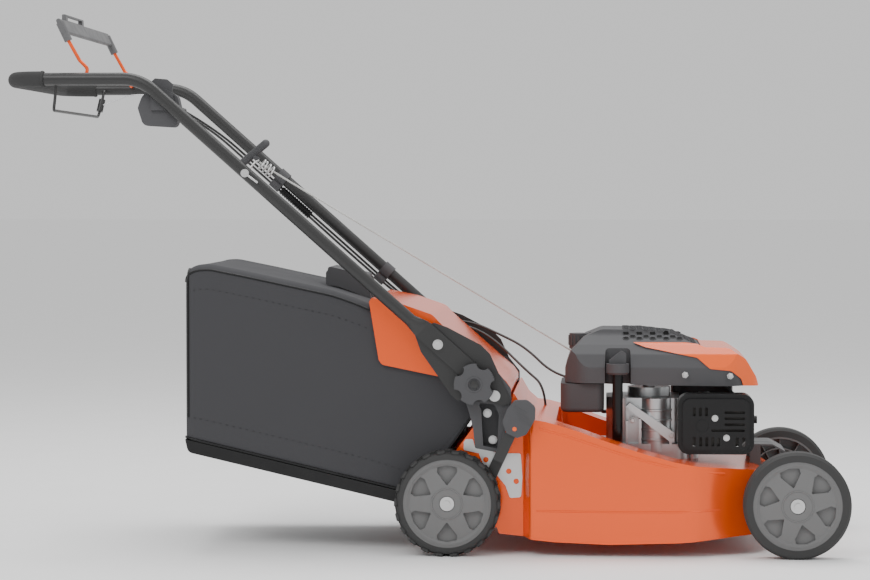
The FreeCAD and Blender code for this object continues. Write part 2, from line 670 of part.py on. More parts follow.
def make_bag():
    half = size("bag_half")
    wall = size("bag_wall")
    tail = -size("bag_length")
    outside = prism(bag_side(0), -half, half)
    inside = prism([(tail + wall, seam_height(tail) - 5), (tail + wall, 568 - wall, 10),
                    (-482, 576 - wall, 28), (-236, 524 - wall, 58), (-151, 492 - wall, 28),
                    (66, 322 - wall), (300, 322 - wall), (300, 0), (-63, seam_height(-63) - 5)],
                   wall - half, half - wall)
    coded("bag_fabric", outside.cut(inside).removeSplitter())
    low = [(tail, seam_height(tail), 0), (-63, seam_height(-63)), (-75, seam_height(-75) - 24, 6),
           (tail + 6, seam_height(tail) - 26, 14)]
    hollow = [(tail + 3, seam_height(tail) + 5), (-50, seam_height(-50) + 5),
              (-60, seam_height(-60) - 21), (tail + 10, seam_height(tail) - 22, 12)]
    tray = prism(low, -half, half).cut(prism(hollow, 3 - half, half - 3))
    frame_out = prism([(66, 318), (66, 298), (-62, seam_height(-63) + 1), (-78, seam_height(-78) + 6),
                       (34, 318)], 3 - half, half - 3)
    frame_in = prism([(200, 308), (200, 128), (-120, 128), (10, 308)], 10 - half, half - 10)
    frame = frame_out.cut(frame_in)
    coded("bag_base", tray.fuse(frame).removeSplitter())
    handle = [(-262, 505), (-262, 561, 8), (-176, 543, 8), (-166, 484)]
    arch = prism(handle, -70, -52).fuse([prism(handle, 52, 70),
                                         prism([(-259, 555, 3), (-257, 566, 4), (-180, 549, 4),
                                                (-178, 539, 3)], -70, 70)])
    keep = prism([(-300, 640), (-300, 537.6), (-236, 524.3), (-150, 492.3), (-100, 454), (0, 640)],
                 -200, 200)
    coded("bag_handle", arch.common(keep).removeSplitter())


# ---- Running gear --------------------------------------------------------------------------

def make_wheels():
    gap = size("running_gap")
    bore = size("axle_radius") + gap
    rim = size("rim_radius")
    wide = size("wheel_width")
    inner_face = size("tower_half") + size("wheel_gap") + 3
    for place_name, x, turn in (("rear", 0, 90), ("front", BASE, 103)):
        for name, side in SIDES:
            face = side * (inner_face + wide)
            profile = [(bore, 3.3), (15.5, 3.3), (15.5, 0.5), (33, 0.5), (74, 5), (79, 2), (rim, 2),
                       (rim, wide - 2), (rim - 4, wide - 2), (rim - 4, 18), (62, 18), (62, 34),
                       (59, 34), (59, 18), (43, 18), (43, 34), (40, 34), (40, 18), (17, 18),
                       (17, wide - 1), (bore, wide - 1)]
            wheel = turned("%s_rim_%s" % (place_name, name),
                           [(r, -side * d) for r, d in profile], x, face, WHEEL_R, "Y")
            angle = math.radians(turn)
            out = vec(math.cos(angle), 0, math.sin(angle))
            wing = vec(-math.sin(angle), 0, math.cos(angle))
            centre = vec(x, 0, WHEEL_R)
            spots = [centre + out * 36, centre + out * 62 + wing * 20, centre + out * 72 + wing * 19,
                     centre + out * 76, centre + out * 72 - wing * 19, centre + out * 62 - wing * 20]
            outline = rounded([(p.x, p.z, 2) for p in spots])
            depth = 12
            start = inner_face + wide - depth if side < 0 else -(inner_face + wide)
            cut = sketch(wheel, "pocket_outline", "XZ_Plane", outline, start)
            recess = pocket(wheel, cut, depth, reverse=True)
            polar = wheel.newObject("PartDesign::PolarPattern", "pockets")
            polar.Originals = [recess]
            polar.Axis = (wheel.Group[0], ["H_Axis"])
            polar.Angle = 360
            polar.Occurrences = 6
            wheel.Tip = polar
            tyre = [(rim + gap / 2, 0.5), (WHEEL_R - 5, 0.5), (WHEEL_R, 7), (WHEEL_R, wide - 7),
                    (WHEEL_R - 5, wide - 0.5), (rim + gap / 2, wide - 0.5)]
            turned("%s_tyre_%s" % (place_name, name), [(r, -side * d) for r, d in tyre], x, face,
                   WHEEL_R, "Y")


def make_crank(name, x_pivot, reach, arm_y, bar_half, horn):
    """Two arms that carry an axle bar, and swing on bolts in the deck's sides."""
    thick = size("arm_thickness")
    height = WHEEL_R + 1
    gap = size("running_gap")
    half = size("arm_width") / 2
    tip_x = x_pivot + reach
    solids = []
    for side in (-1, 1):
        low, high = sorted((side * arm_y, side * (arm_y + thick)))
        eye = rod(vec(x_pivot, low, height), vec(x_pivot, high, height), half - 1)
        tip = rod(vec(tip_x, low, WHEEL_R), vec(tip_x, high, WHEEL_R), half - 2)
        bar = block(*sorted((x_pivot, tip_x)), low, high, height - half + 3, height + half - 3)
        bore = rod(vec(x_pivot, low - 1, height), vec(x_pivot, high + 1, height), 4.5 + gap)
        solids.append(eye.fuse([tip, bar]).cut(bore))
        washer_end = side * (bar_half + 2)
        washer = rod(vec(tip_x, side * bar_half, WHEEL_R), vec(tip_x, washer_end, WHEEL_R), 14)
        head = prism(hexagon(tip_x, WHEEL_R, 12), *sorted((washer_end, washer_end + side * 4)))
        solids += [washer, head]
    pin_z = height + horn
    inner_end, outer_end = (arm_y - 18, arm_y + 1) if horn > 0 else (arm_y + 1, arm_y + 18)
    tab = block(x_pivot - 7, x_pivot + 7, arm_y, arm_y + thick, *sorted((height + horn / 2, pin_z)))
    solids += [tab, rod(vec(x_pivot, arm_y, pin_z), vec(x_pivot, arm_y + thick, pin_z), 7),
               rod(vec(x_pivot, inner_end, pin_z), vec(x_pivot, outer_end, pin_z), 2.5)]
    axle = rod(vec(tip_x, -bar_half, WHEEL_R), vec(tip_x, bar_half, WHEEL_R), size("axle_radius"))
    coded(name, axle.fuse(solids).removeSplitter())


def make_running_gear():
    tower = size("tower_half")
    wall = size("deck_wall")
    reach = size("arm_reach")
    thick = size("arm_thickness")
    bar_half = tower + size("wheel_gap") + 3 + size("wheel_width") - 3
    height = WHEEL_R + 1
    rear_arm = tower - wall - thick - 1.5
    front_arm = 182
    make_crank("rear_crank", reach, -reach, rear_arm, bar_half, 27)
    make_crank("front_crank", BASE - reach, reach, front_arm, bar_half, -27)
    pivots = []
    for side in (-1, 1):
        outer_end = tower + 7.5 if side < 0 else tower + 5
        pivots.append(rod(vec(reach, side * (rear_arm - 1), height),
                          vec(reach, side * outer_end, height), 4.5))
        front = rod(vec(BASE - reach, side * 160, height),
                    vec(BASE - reach, side * (front_arm + thick + 1), height), 4.5)
        head = rod(vec(BASE - reach, side * (front_arm + thick + 0.5), height),
                   vec(BASE - reach, side * (front_arm + thick + 5), height), 9)
        pivots.append(front.fuse(head).removeSplitter())
    PIVOT_STUDS.extend(pivots)

    sector = [(30, 206, 3), (30, 222, 4), (34, 228, 5), (48, 228, 4), (52, 213), (100, 200),
              (125, 200, 3), (143, 200, 4), (144, 190, 3), (146.5, 152), (144, 113, 5), (122, 111, 5),
              (113, 136), (95, 158), (72, 170, 6), (60, 200)]
    holes = []
    for degrees in (81.6, 63.5, 45.5, 28):
        angle = math.radians(degrees)
        holes.append((reach + 82 * math.cos(angle), height + 82 * math.sin(angle), 5.5))
    slab_sided("height_sector", -1, sector, tower, 2.5,
               holes + [(x, z, 2.5) for x, z in RIVETS])
    rivets = []
    for x, z in RIVETS:
        stem = rod(vec(x, -tower + wall, z), vec(x, -tower - 2.5, z), 2.5)
        rivets.append(stem.fuse(rod(vec(x, -tower - 2.5, z), vec(x, -tower - 4, z), 4.5)))
    CASE_BOLTS.extend(rivets)

    lean = math.radians(65.5)
    up = vec(math.cos(lean), 0, math.sin(lean))
    wide = vec(math.sin(lean), 0, -math.cos(lean))
    foot = vec(reach, 0, height)

    def strip(start, end, y_low, y_high, half):
        spots = [foot + up * start - wide * half, foot + up * end - wide * half,
                 foot + up * end + wide * half, foot + up * start + wide * half]
        return prism([(p.x, p.z) for p in spots], y_low, y_high)

    inner_low = -tower - 7.5
    outer_low = -tower - 57.5
    lower = strip(0, 100, inner_low, inner_low + 4, 11).fuse(
        rod(foot + vec(0, inner_low, 0), foot + vec(0, inner_low + 4, 0), 12))
    jog = strip(92, 100, outer_low, inner_low + 4, 11)
    upper = strip(92, 150, outer_low, outer_low + 4, 11)
    bore = rod(foot + vec(0, -300, 0), foot + vec(0, -200, 0), 4.5 + size("running_gap"))
    coded("height_lever", lower.fuse([jog, upper]).cut(bore).removeSplitter())
    side = [(133, 310, 9), (157, 311, 12), (174, 297, 14), (173, 272, 8), (156, 243, 9),
            (138, 236, 6), (117, 246, 6), (109, 268, 8), (118, 292)]
    grip = prism(side, outer_low - 6, outer_low + 10)
    coded("height_lever_grip", grip.cut(
        strip(100, 150, outer_low - 0.02, outer_low + 4.02, 11.02)).removeSplitter())

    belt_z = size("belt_height")
    half = size("gearbox_half")
    box = block(-26, 56, -half, half, WHEEL_R - 32, belt_z - 6)
    box = box.makeFillet(8, [e for e in box.Edges if abs(e.tangentAt(0).z) > 0.9])
    bolts = [rod(vec(x, y, belt_z - 40), vec(x, y, belt_z - 2), 6) for x in (-16, 46)
             for y in (-half + 8, half - 8)]
    bore = rod(vec(0, -300, WHEEL_R), vec(0, 300, WHEEL_R), size("axle_radius") + 0.03)
    shaft_bore = rod(vec(36, 0, belt_z - 40), vec(36, 0, 200), 5 + size("running_gap"))
    coded("gearbox", box.fuse(bolts).cut([bore, shaft_bore]).removeSplitter())
    radius = size("pulley_radius")
    groove = [(0, -20), (5, -20), (5, 0), (radius, 0), (radius, 1), (radius - 4, 1.2),
              (radius - 4, size("belt_width") + 0.8), (radius, size("belt_width") + 1),
              (radius, size("belt_width") + 2), (0, size("belt_width") + 2)]
    turned("gearbox_pulley", groove, 36, 0, belt_z)
    loops = [column([(36 - r, -r, r - 0.01), (CRANK_X + r, -r, r - 0.01),
                     (CRANK_X + r, r, r - 0.01), (36 - r, r, r - 0.01)],
                    belt_z + 1.5, belt_z + 10.5) for r in (radius + 1, radius - 3.5)]
    coded("drive_belt", loops[0].cut(loops[1]))
    spots = [(reach, 207.5, height + 27), (BASE - reach, 190.5, height - 27)]
    link = rod(vec(reach, 211, height + 27), vec(BASE - reach, 194, height - 27), 3.5)
    eyes = [rod(vec(x, y, z), vec(x, y + 7, z), 11) for x, y, z in spots]
    holes = [rod(vec(x, y - 5, z), vec(x, y + 12, z), 7.5) for x, y, z in spots]
    coded("height_link", link.fuse(eyes).cut(holes).removeSplitter())


# ---- Engine --------------------------------------------------------------------------------

def shroud_side(grow):
    return [(229 - grow, 334), (229 - grow, 364, 10), (240 - grow, 396, 20), (266, 424 + grow, 30),
            (302, 439 + grow, 30), (384, 438 + grow, 60), (446, 431 + grow, 40), (478, 417 + grow, 14),
            (510, 404 + grow, 20), (558, 403 + grow, 30), (590 + grow, 383, 22),
            (612 + grow, 346, 10), (618 + grow, 327, 2), (590, 329), (384, 331), (312, 334)]


def shroud_solid(grow):
    half = size("shroud_half") + grow
    side = prism(shroud_side(grow), -half, half)
    section = [(-half, 300), (-half, 366, 8), (-half + 12, 392, 10), (-half + 34, 410 + grow, 10),
               (-half + 72, 428 + grow, 14), (-half + 88, 470), (half - 88, 470),
               (half - 72, 428 + grow, 14), (half - 34, 410 + grow, 10), (half - 12, 392, 10),
               (half, 366, 8), (half, 300)]
    rounding = mirrored([(228 - grow, half - 34, 30), (262, half, 40), (560, half, 50),
                         (619 + grow, half - 56, 46)])
    return side.common([beam(section, 200, 700)]).common(column(rounding, 300, 500))


TRIM = [(366, 415), (390, 406), (494, 386, 6), (520, 364, 6), (562, 360, 14), (583, 343, 10),
        (589, 322), (640, 322), (640, 480), (492, 480), (497, 412), (430, 420)]
GRILLE = [(330, 436), (354, 414), (484, 405), (505, 402), (481, 470), (330, 470)]


FILLER = (257, -18)


def make_shroud():
    wall = size("shroud_wall")
    outer = shroud_solid(0)
    inner = shroud_solid(-wall).fuse(shroud_solid(-wall).translated(vec(0, 0, -6)))
    shell = outer.cut(inner)
    notch = column([(306, -200), (364, -200), (360, -124, 8), (311, -124, 8)], 300, 407)
    lining = column([(303, -200), (367, -200), (363, -121, 9), (308, -121, 9)], 300, 410)
    shell = shell.cut(lining).fuse(outer.common(lining.cut(notch)))
    shell = shell.cut(notch)
    tank_room = block(200, 319, -160, 160, 300, 333)
    neck_room = rod(vec(FILLER[0], FILLER[1], 380), vec(FILLER[0], FILLER[1], 450), 25)
    rope_room = rod(vec(200, -77, 420), vec(270, -57, 377), 5)
    coded("blower_shroud", shell.cut([tank_room, neck_room, rope_room]).removeSplitter())
    skin = shroud_solid(2.2).cut(outer)
    trim = skin.common(prism(TRIM, -300, 300)).cut(prism(GRILLE, -112, 112))
    coded("shroud_trim", trim.cut(lining).removeSplitter())


GUARD_BOLTS = [(528, 269), (551, 230)]


def make_engine():
    floor = size("engine_floor")
    gap = size("running_gap")
    shaft = size("shaft_radius")
    sump = mirrored([(296, 70, 14), (330, 104, 30), (470, 104, 30), (498, 60, 14)])
    bore = rod(vec(CRANK_X, 0, 0), vec(CRANK_X, 0, 400), shaft + gap)
    feet = [rod(vec(x, y, floor), vec(x, y, floor + 12), 9) for x, y in ENGINE_SCREWS]
    cover = column(sump, floor, floor + 14).fuse(feet)
    holes = [rod(vec(x, y, 0), vec(x, y, 300), 4) for x, y in ENGINE_SCREWS]
    coded("sump_cover", cover.cut([bore] + holes).removeSplitter())
    bolts = []
    for x, y in ENGINE_SCREWS:
        stem = rod(vec(x, y, floor - 8), vec(x, y, floor + 14), 4)
        bolts.append(stem.fuse(rod(vec(x, y, floor + 14), vec(x, y, floor + 19), 7)))
    CASE_BOLTS.extend(b.removeSplitter() for b in bolts)

    body = column(mirrored([(312, 58, 16), (344, 86, 26), (462, 86, 12)]), floor + 14, 300)
    boss = rod(vec(CRANK_X, 0, 290), vec(CRANK_X, 0, 318), 44)
    barrels = [rod(vec(414, -74, floor + 14), vec(414, -74, 300), 32),
               rod(vec(340, -60, floor + 14), vec(340, -60, 262), 20)]
    flange = prism([(352, 284), (360, 292), (450, 232), (450, 214), (440, 214)], -112, 100)
    ribs = [prism([(x, floor + 14), (x + 5, floor + 14), (x + 5, 262 - abs(x - 370) * 0.4),
                   (x, 262 - abs(x - 370) * 0.4)], -108, -70) for x in (352, 378, 440)]
    dome = column(sump, floor + 14, floor + 30)
    crankcase = body.fuse([boss, dome, flange] + barrels + ribs)
    web_room = rod(vec(CRANK_X, 0, floor + 20), vec(CRANK_X, 0, 282), 52)
    oil_port = rod(vec(334, -150, 214), vec(334, -80, 206), 9)
    screw_room = [rod(vec(x, y, floor + 14), vec(x, y, 260), 9) for x, y in ENGINE_SCREWS]
    core = rod(vec(462, 0, 250), vec(566, 0, 250), 40)
    fins = [block(x, x + 2.5, -56, 56, 206, 296) for x in range(470, 560, 8)]
    head = block(560, 582, -50, 50, 208, 294)
    bore_room = rod(vec(462, 0, 250), vec(548, 0, 250), 32)
    plug_hole = rod(vec(560, 0, 250), vec(590, 0, 250), 6)
    cable_lug = block(328, 332, 56, 126, 286, 328).cut(
        rod(vec(320, 112, 316), vec(340, 112, 316), size("cable_radius") + 0.1))
    ports = [rod(vec(516, side * 30, 262), vec(516, side * 66, 262), 15) for side in (-1, 1)]
    crankcase = crankcase.cut([bore, web_room, oil_port] + screw_room)
    barrel = core.fuse(fins + [head] + ports).cut([bore_room, plug_hole])
    engine_block = crankcase.fuse([barrel, cable_lug]).removeSplitter()
    coded("engine_block", engine_block)
    plug = rod(vec(562, 0, 250), vec(586, 0, 250), 5.95).fuse(
        [rod(vec(582.2, 0, 250), vec(590, 0, 250), 10), rod(vec(588, 0, 250), vec(622, 0, 250), 8),
         tube([(616, 0, 250), (616, 30, 256), (600, 60, 280), (560, 66, 312)], 3)])
    coded("spark_plug", plug.removeSplitter())

    coded("carburettor", block(492, 540, 66, 112, 240, 284).fuse(
        [rod(vec(516, 88, 284), vec(516, 88, 300), 12), rod(vec(516, 88, 222), vec(516, 88, 240), 16)])
        .removeSplitter())
    cover = column([(448, 112, 14), (578, 112, 14), (578, 168, 22), (448, 168, 22)], 214, 322)
    coded("air_filter_cover", cover.cut(column([(452, 100), (574, 100), (574, 164, 18),
                                                (452, 164, 18)], 218, 318)).removeSplitter())

    guard_half = 196
    outline = [(455, 196, 22), (606, 196, 22), (606, 316, 22), (455, 316, 22)]
    face = [(464, 205, 16), (597, 205, 16), (597, 307, 16), (464, 307, 16)]
    guard = prism(outline, -188, -132).fuse(prism(face, -guard_half, -188))
    inner = [(458, 199, 19), (603, 199, 19), (603, 313, 19), (458, 313, 19)]
    inner_face = [(466.5, 207.5, 14), (594.5, 207.5, 14), (594.5, 304.5, 14), (466.5, 304.5, 14)]
    guard = guard.cut([prism(inner, -186, -100), prism(inner_face, -193.5, -180)])
    slots = [(547, 587, 278 - 12 * i) for i in range(3)] + [(521, 587, 242)]
    cuts = [prism([(a, z, 2), (b, z, 2), (b, z + 5, 2), (a, z + 5, 2)], -200, -150)
            for a, b, z in slots]
    columns_low = [487, 500, 512, 524, 535, 572, 585]
    cuts += [prism([(x - 3, 213, 2), (x + 3, 213, 2), (x + 3, 231, 2), (x - 3, 231, 2)], -200, -150)
             for x in columns_low]
    cuts += [prism([(x - 3, 273, 2), (x + 3, 273, 2), (x + 3, 290, 2), (x - 3, 290, 2)], -200, -150)
             for x in (487, 499, 511)]
    ring = rod(vec(503, -200, 254), vec(503, -195, 254), 13).cut(
        rod(vec(503, -201, 254), vec(503, -194, 254), 11.5))
    cuts += [rod(vec(x, -200, z), vec(x, -190, z), 2.4) for x, z in GUARD_BOLTS]
    coded("muffler_guard", guard.cut(cuts + [ring]).removeSplitter())
    muffler = prism([(470, 212, 24), (592, 212, 24), (592, 300, 24), (470, 300, 24)], -184, -106)
    hollow = prism([(472, 214, 22), (590, 214, 22), (590, 298, 22), (472, 298, 22)], -182, -108)
    pipe = rod(vec(516, -106, 262), vec(516, -66, 262), 13)
    pipe_bore = rod(vec(516, -110, 262), vec(516, -60, 262), 10)
    coded("muffler", muffler.fuse(pipe).cut([hollow, pipe_bore]).removeSplitter())
    CASE_BOLTS.extend(hex_bolts(GUARD_BOLTS, guard_half, -1, 9, 4, 2.4, 2.4))

    x, y = FILLER
    cap = rod(vec(x, y, 396.4), vec(x, y, 428), 21)
    ribs = []
    for i in range(16):
        angle = i * math.pi / 8
        spot = vec(x + 21 * math.cos(angle), y + 21 * math.sin(angle), 404)
        ribs.append(rod(spot, spot + vec(0, 0, 20), 2))
    plug = rod(vec(x, y, 386), vec(x, y, 397), 14 - size("running_gap"))
    coded("fuel_cap", cap.fuse(ribs + [plug]).removeSplitter())
    tank = column([(220, -138, 22), (308, -138, 16), (308, 60, 16), (220, 60, 30)], 274, 332)
    tank = tank.makeFillet(9, [e for e in tank.Edges if e.CenterOfMass.z < 275 and e.Length > 20])
    petrol_room = column([(223, -135, 19), (305, -135, 13), (305, 57, 13), (223, 57, 27)], 284, 329)
    neck = rod(vec(x, y, 328), vec(x, y, 396), 17)
    neck_bore = rod(vec(x, y, 320), vec(x, y, 400), 14)
    coded("fuel_tank", tank.fuse(neck).cut([petrol_room, neck_bore]).removeSplitter())

    centre = (335, -151)
    pipe = tube([(centre[0], centre[1], 352), (centre[0], centre[1], 226),
                 (centre[0], -104, 208)], 10.5, [20], 7.5)
    coded("oil_tube", pipe.cut(engine_block).removeSplitter())
    cap = rod(vec(centre[0], centre[1], 352.3), vec(centre[0], centre[1], 374), 23)
    cap = cap.makeChamfer(4, [e for e in cap.Edges if abs(e.CenterOfMass.z - 352.3) < 0.1
                              and e.Closed and e.Length > 100])
    wing = prism([(318, 372), (352, 372), (352, 394, 4), (342, 400, 3), (318, 381, 3)], -157, -145)
    stick = rod(vec(centre[0], centre[1], 270), vec(centre[0], centre[1], 354), 2.5)
    coded("dipstick_cap", cap.fuse([wing, stick]).removeSplitter())

    crank = rod(vec(CRANK_X, 0, 66), vec(CRANK_X, 0, floor + 24), shaft).fuse(
        [rod(vec(CRANK_X, 0, 270), vec(CRANK_X, 0, 384), shaft),
         rod(vec(CRANK_X, 0, floor + 22), vec(CRANK_X, 0, floor + 44), 38),
         rod(vec(CRANK_X, 0, 256), vec(CRANK_X, 0, 280), 38),
         rod(vec(CRANK_X + 22, 0, floor + 40), vec(CRANK_X + 22, 0, 260), 12)])
    coded("crankshaft", crank.removeSplitter())
    fit = shaft + 0.03
    wheel = [(fit, 0), (88, 0), (88, 6), (42, 6), (42, 24), (40, 26), (34, 27), (34, 33),
             (40, 34), (40, 36), (fit, 36)]
    turned("flywheel", wheel, CRANK_X, 0, 342)
    height = size("blade_height")
    base = height + size("blade_thickness") + 0.02
    low = size("belt_height") - base
    radius = size("pulley_radius")
    hub = [(fit, 0), (30, 0), (30, 10), (20, 14), (20, low), (radius, low), (radius, low + 1),
           (radius - 4, low + 1.2), (radius - 4, low + 10.8), (radius, low + 11),
           (radius, low + 12), (fit, low + 12)]
    turned("blade_adapter", hub, CRANK_X, 0, base)
    half = size("blade_length") / 2
    wide = size("blade_width") / 2
    bar = column([(CRANK_X - half, -wide, 3), (CRANK_X + half, -wide, 3), (CRANK_X + half, wide, 3),
                  (CRANK_X - half, wide, 3)], height, height + size("blade_thickness"))
    lifts = []
    for side in (-1, 1):
        x = sorted((CRANK_X + side * (half - 90), CRANK_X + side * (half - 3)))
        y = side * wide
        lift = beam([(y - side * 3, height), (y, height), (y + side * 1, height + 16),
                     (y - side * 2, height + 16)], x[0], x[1])
        lifts.append(lift)
    eye = rod(vec(CRANK_X, 0, 0), vec(CRANK_X, 0, 100), 5)
    coded("blade", bar.fuse(lifts).cut(eye).removeSplitter())
    coded("blade_bolt", rod(vec(CRANK_X, 0, height - 9), vec(CRANK_X, 0, height - 0.02), 12).fuse(
        rod(vec(CRANK_X, 0, height - 1), vec(CRANK_X, 0, 65.9), 4.95)).removeSplitter())


make_deck()
make_flap()
make_strap()
make_posts_and_plates()
make_handle()
make_handle_fittings()
make_bails()
make_starter()
make_cables()
make_bag()
make_wheels()
make_running_gear()
make_shroud()
make_engine()
coded("case_bolts", Part.makeCompound(CASE_BOLTS))
coded("pivot_studs", Part.makeCompound(PIVOT_STUDS))
coded("handle_hardware", Part.makeCompound(HANDLE_HARDWARE))
doc.recompute()


def sub_parts():
    """Every piece once; a body that a pair holds isn't written by itself."""
    held = [body for group in doc.Objects if group.TypeId == "Part::Compound"
            for body in group.Links]
    kinds = ("PartDesign::Body", "Part::Feature", "Part::Compound")
    return [obj for obj in doc.Objects if obj.TypeId in kinds and obj not in held]


for obj in doc.Objects:
    if "Invalid" in obj.State or "Error" in obj.State:
        raise RuntimeError("%s is in state %s" % (obj.Label, obj.State))
os.makedirs("parts", exist_ok=True)
for obj in sub_parts():
    shape = obj.Shape
    if shape.isNull() or not shape.isValid():
        raise RuntimeError("%s has no valid shape" % obj.Label)
    print("%-22s solids %d, %.1f cm3" % (obj.Label, len(shape.Solids), shape.Volume / 1000))
    shape.exportStep("parts/%s.step" % obj.Label)
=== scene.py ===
"""Walk-behind lawn mower: finishes, grass bag, tyres, cables and small details on the frame."""
import math

import bmesh
import bpy
from mathutils import Matrix, Vector, noise
from mathutils.bvhtree import BVHTree


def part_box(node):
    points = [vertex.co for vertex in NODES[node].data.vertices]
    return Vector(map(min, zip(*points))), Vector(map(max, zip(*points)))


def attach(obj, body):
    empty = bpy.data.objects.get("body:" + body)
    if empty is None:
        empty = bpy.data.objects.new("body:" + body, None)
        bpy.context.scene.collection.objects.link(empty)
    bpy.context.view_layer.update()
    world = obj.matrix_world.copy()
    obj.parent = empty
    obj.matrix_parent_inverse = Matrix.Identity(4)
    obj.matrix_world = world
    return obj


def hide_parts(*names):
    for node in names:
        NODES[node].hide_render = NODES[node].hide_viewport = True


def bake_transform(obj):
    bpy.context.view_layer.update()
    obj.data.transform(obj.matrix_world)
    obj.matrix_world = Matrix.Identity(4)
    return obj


bl_info = {
    "name": "Walk-behind lawn mower",
    "version": (1, 0, 0),
    "blender": (4, 5, 0),
    "location": "View3D > Sidebar > Mower",
    "description": "Builds the mower's finishes, bag, tyres, cables and details on its frame",
    "category": "Object",
}

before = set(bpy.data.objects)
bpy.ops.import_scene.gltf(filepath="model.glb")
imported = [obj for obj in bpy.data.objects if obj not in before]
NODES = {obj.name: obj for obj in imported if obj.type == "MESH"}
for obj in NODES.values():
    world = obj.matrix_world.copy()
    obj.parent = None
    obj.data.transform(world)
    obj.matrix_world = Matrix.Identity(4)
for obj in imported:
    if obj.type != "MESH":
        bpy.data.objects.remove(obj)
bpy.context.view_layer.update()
LOW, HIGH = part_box("rear_tyre_right")
REAR_AXLE = (LOW.x + HIGH.x) / 2
WHEEL_RADIUS = (HIGH.x - LOW.x) / 2
SIDES = (("right", -1), ("left", 1))
HANDLE_SLOPE = math.radians(41.6)
HANDLE_HEIGHT = 942
TUBE_HALF = 271
KNOB_X, KNOB_Z = 54, 341
FLAP_HINGE_X, FLAP_HINGE_Z = 108, 322
CAMERA_PLACE = (0.3604, -5.4314, 0.7208)
CAMERA_DOWN, CAMERA_TURN = 2.162, 3.745
CAMERA_LENS = 108.77


def at(x, y, z):
    """A point given in millimetres from the ground under the rear axle."""
    return Vector((REAR_AXLE + x / 1000, y / 1000, z / 1000))


def up_handle(distance, across, y):
    """A point beside the straight part of the handle, in millimetres from its lower bolt."""
    run, rise = math.cos(HANDLE_SLOPE), math.sin(HANDLE_SLOPE)
    return at(-19 - distance * run + across * rise, y, 418 + distance * rise + across * run)


# ---- Sizes and colours ---------------------------------------------------------------------

class MowerFinishes(bpy.types.PropertyGroup):
    paint: bpy.props.FloatVectorProperty(
        name="Paint", description="Deck and trim colour", subtype="COLOR", size=3, min=0, max=1,
        default=(0.88, 0.042, 0.001))
    charcoal: bpy.props.FloatVectorProperty(
        name="Charcoal", description="Moulded plastic colour", subtype="COLOR", size=3, min=0, max=1,
        default=(0.011, 0.011, 0.0118))
    wheel: bpy.props.FloatVectorProperty(
        name="Wheel", description="Wheel plastic colour", subtype="COLOR", size=3, min=0, max=1,
        default=(0.052, 0.052, 0.054))
    tyre: bpy.props.FloatVectorProperty(
        name="Tyre", description="Tyre rubber colour", subtype="COLOR", size=3, min=0, max=1,
        default=(0.006, 0.006, 0.0063))
    cloth: bpy.props.FloatVectorProperty(
        name="Cloth", description="Grass bag cloth colour", subtype="COLOR", size=3, min=0, max=1,
        default=(0.008, 0.008, 0.0088))
    pale: bpy.props.FloatVectorProperty(
        name="Pale plastic", description="Bail and strap colour", subtype="COLOR", size=3, min=0,
        max=1, default=(0.12, 0.12, 0.123))
    wear: bpy.props.FloatProperty(
        name="Wear", description="How uneven the finishes are", default=1.0, min=0, max=3,
        subtype="FACTOR")


class MowerSizes(bpy.types.PropertyGroup):
    lugs: bpy.props.IntProperty(
        name="Lugs", description="Tread lugs round each rear tyre, on each side", default=22,
        min=8, max=60)
    lug_height: bpy.props.FloatProperty(
        name="Lug height", description="How far a lug stands out of the tyre", default=0.0048,
        min=0.001, max=0.01, unit="LENGTH")
    bag_sag: bpy.props.FloatProperty(
        name="Bag sag", description="How far the bag's sides pull in between its edges",
        default=0.005, min=0, max=0.02, unit="LENGTH")
    wrinkle: bpy.props.FloatProperty(
        name="Wrinkle", description="Height of the folds in the cloth", default=0.0035, min=0,
        max=0.01, unit="LENGTH")
    stitch: bpy.props.FloatProperty(
        name="Stitch", description="Length of one stitch", default=0.0045, min=0.002, max=0.01,
        unit="LENGTH")
    rope_radius: bpy.props.FloatProperty(
        name="Rope radius", description="Radius of the starter rope", default=0.0019, min=0.001,
        max=0.004, unit="LENGTH")
    cable_radius: bpy.props.FloatProperty(
        name="Cable radius", description="Radius of the control cables", default=0.0026, min=0.001,
        max=0.005, unit="LENGTH")
    cell: bpy.props.FloatProperty(
        name="Grille cell", description="Width across one grille cell", default=0.015, min=0.008,
        max=0.03, unit="LENGTH")


# ---- Surfaces ------------------------------------------------------------------------------

def add_node(tree, kind, **settings):
    made = tree.nodes.new(kind)
    for name, value in settings.items():
        setattr(made, name, value)
    return made


def noise_node(tree, place, scale, detail=4.0):
    made = add_node(tree, "ShaderNodeTexNoise")
    made.inputs["Scale"].default_value = scale
    made.inputs["Detail"].default_value = detail
    tree.links.new(place, made.inputs["Vector"])
    return made.outputs["Fac"]


def spread(tree, value, low, high, start=0.3, end=0.7):
    made = add_node(tree, "ShaderNodeMapRange")
    made.inputs["From Min"].default_value = start
    made.inputs["From Max"].default_value = end
    made.inputs["To Min"].default_value = low
    made.inputs["To Max"].default_value = high
    tree.links.new(value, made.inputs["Value"])
    return made.outputs["Result"]


def two_tone(tree, factor, first, second):
    made = add_node(tree, "ShaderNodeMix", data_type="RGBA")
    tree.links.new(factor, made.inputs[0])
    made.inputs[6].default_value = (*first, 1)
    made.inputs[7].default_value = (*second, 1)
    return made.outputs[2]


def stripes(tree, place, direction, scale):
    made = add_node(tree, "ShaderNodeTexWave", wave_type="BANDS", bands_direction=direction)
    made.inputs["Scale"].default_value = scale
    tree.links.new(place, made.inputs["Vector"])
    return made.outputs["Fac"]


def relief(tree, height, strength, distance, normal=None):
    made = add_node(tree, "ShaderNodeBump")
    made.inputs["Strength"].default_value = strength
    made.inputs["Distance"].default_value = distance
    tree.links.new(height, made.inputs["Height"])
    if normal is not None:
        tree.links.new(normal, made.inputs["Normal"])
    return made.outputs["Normal"]


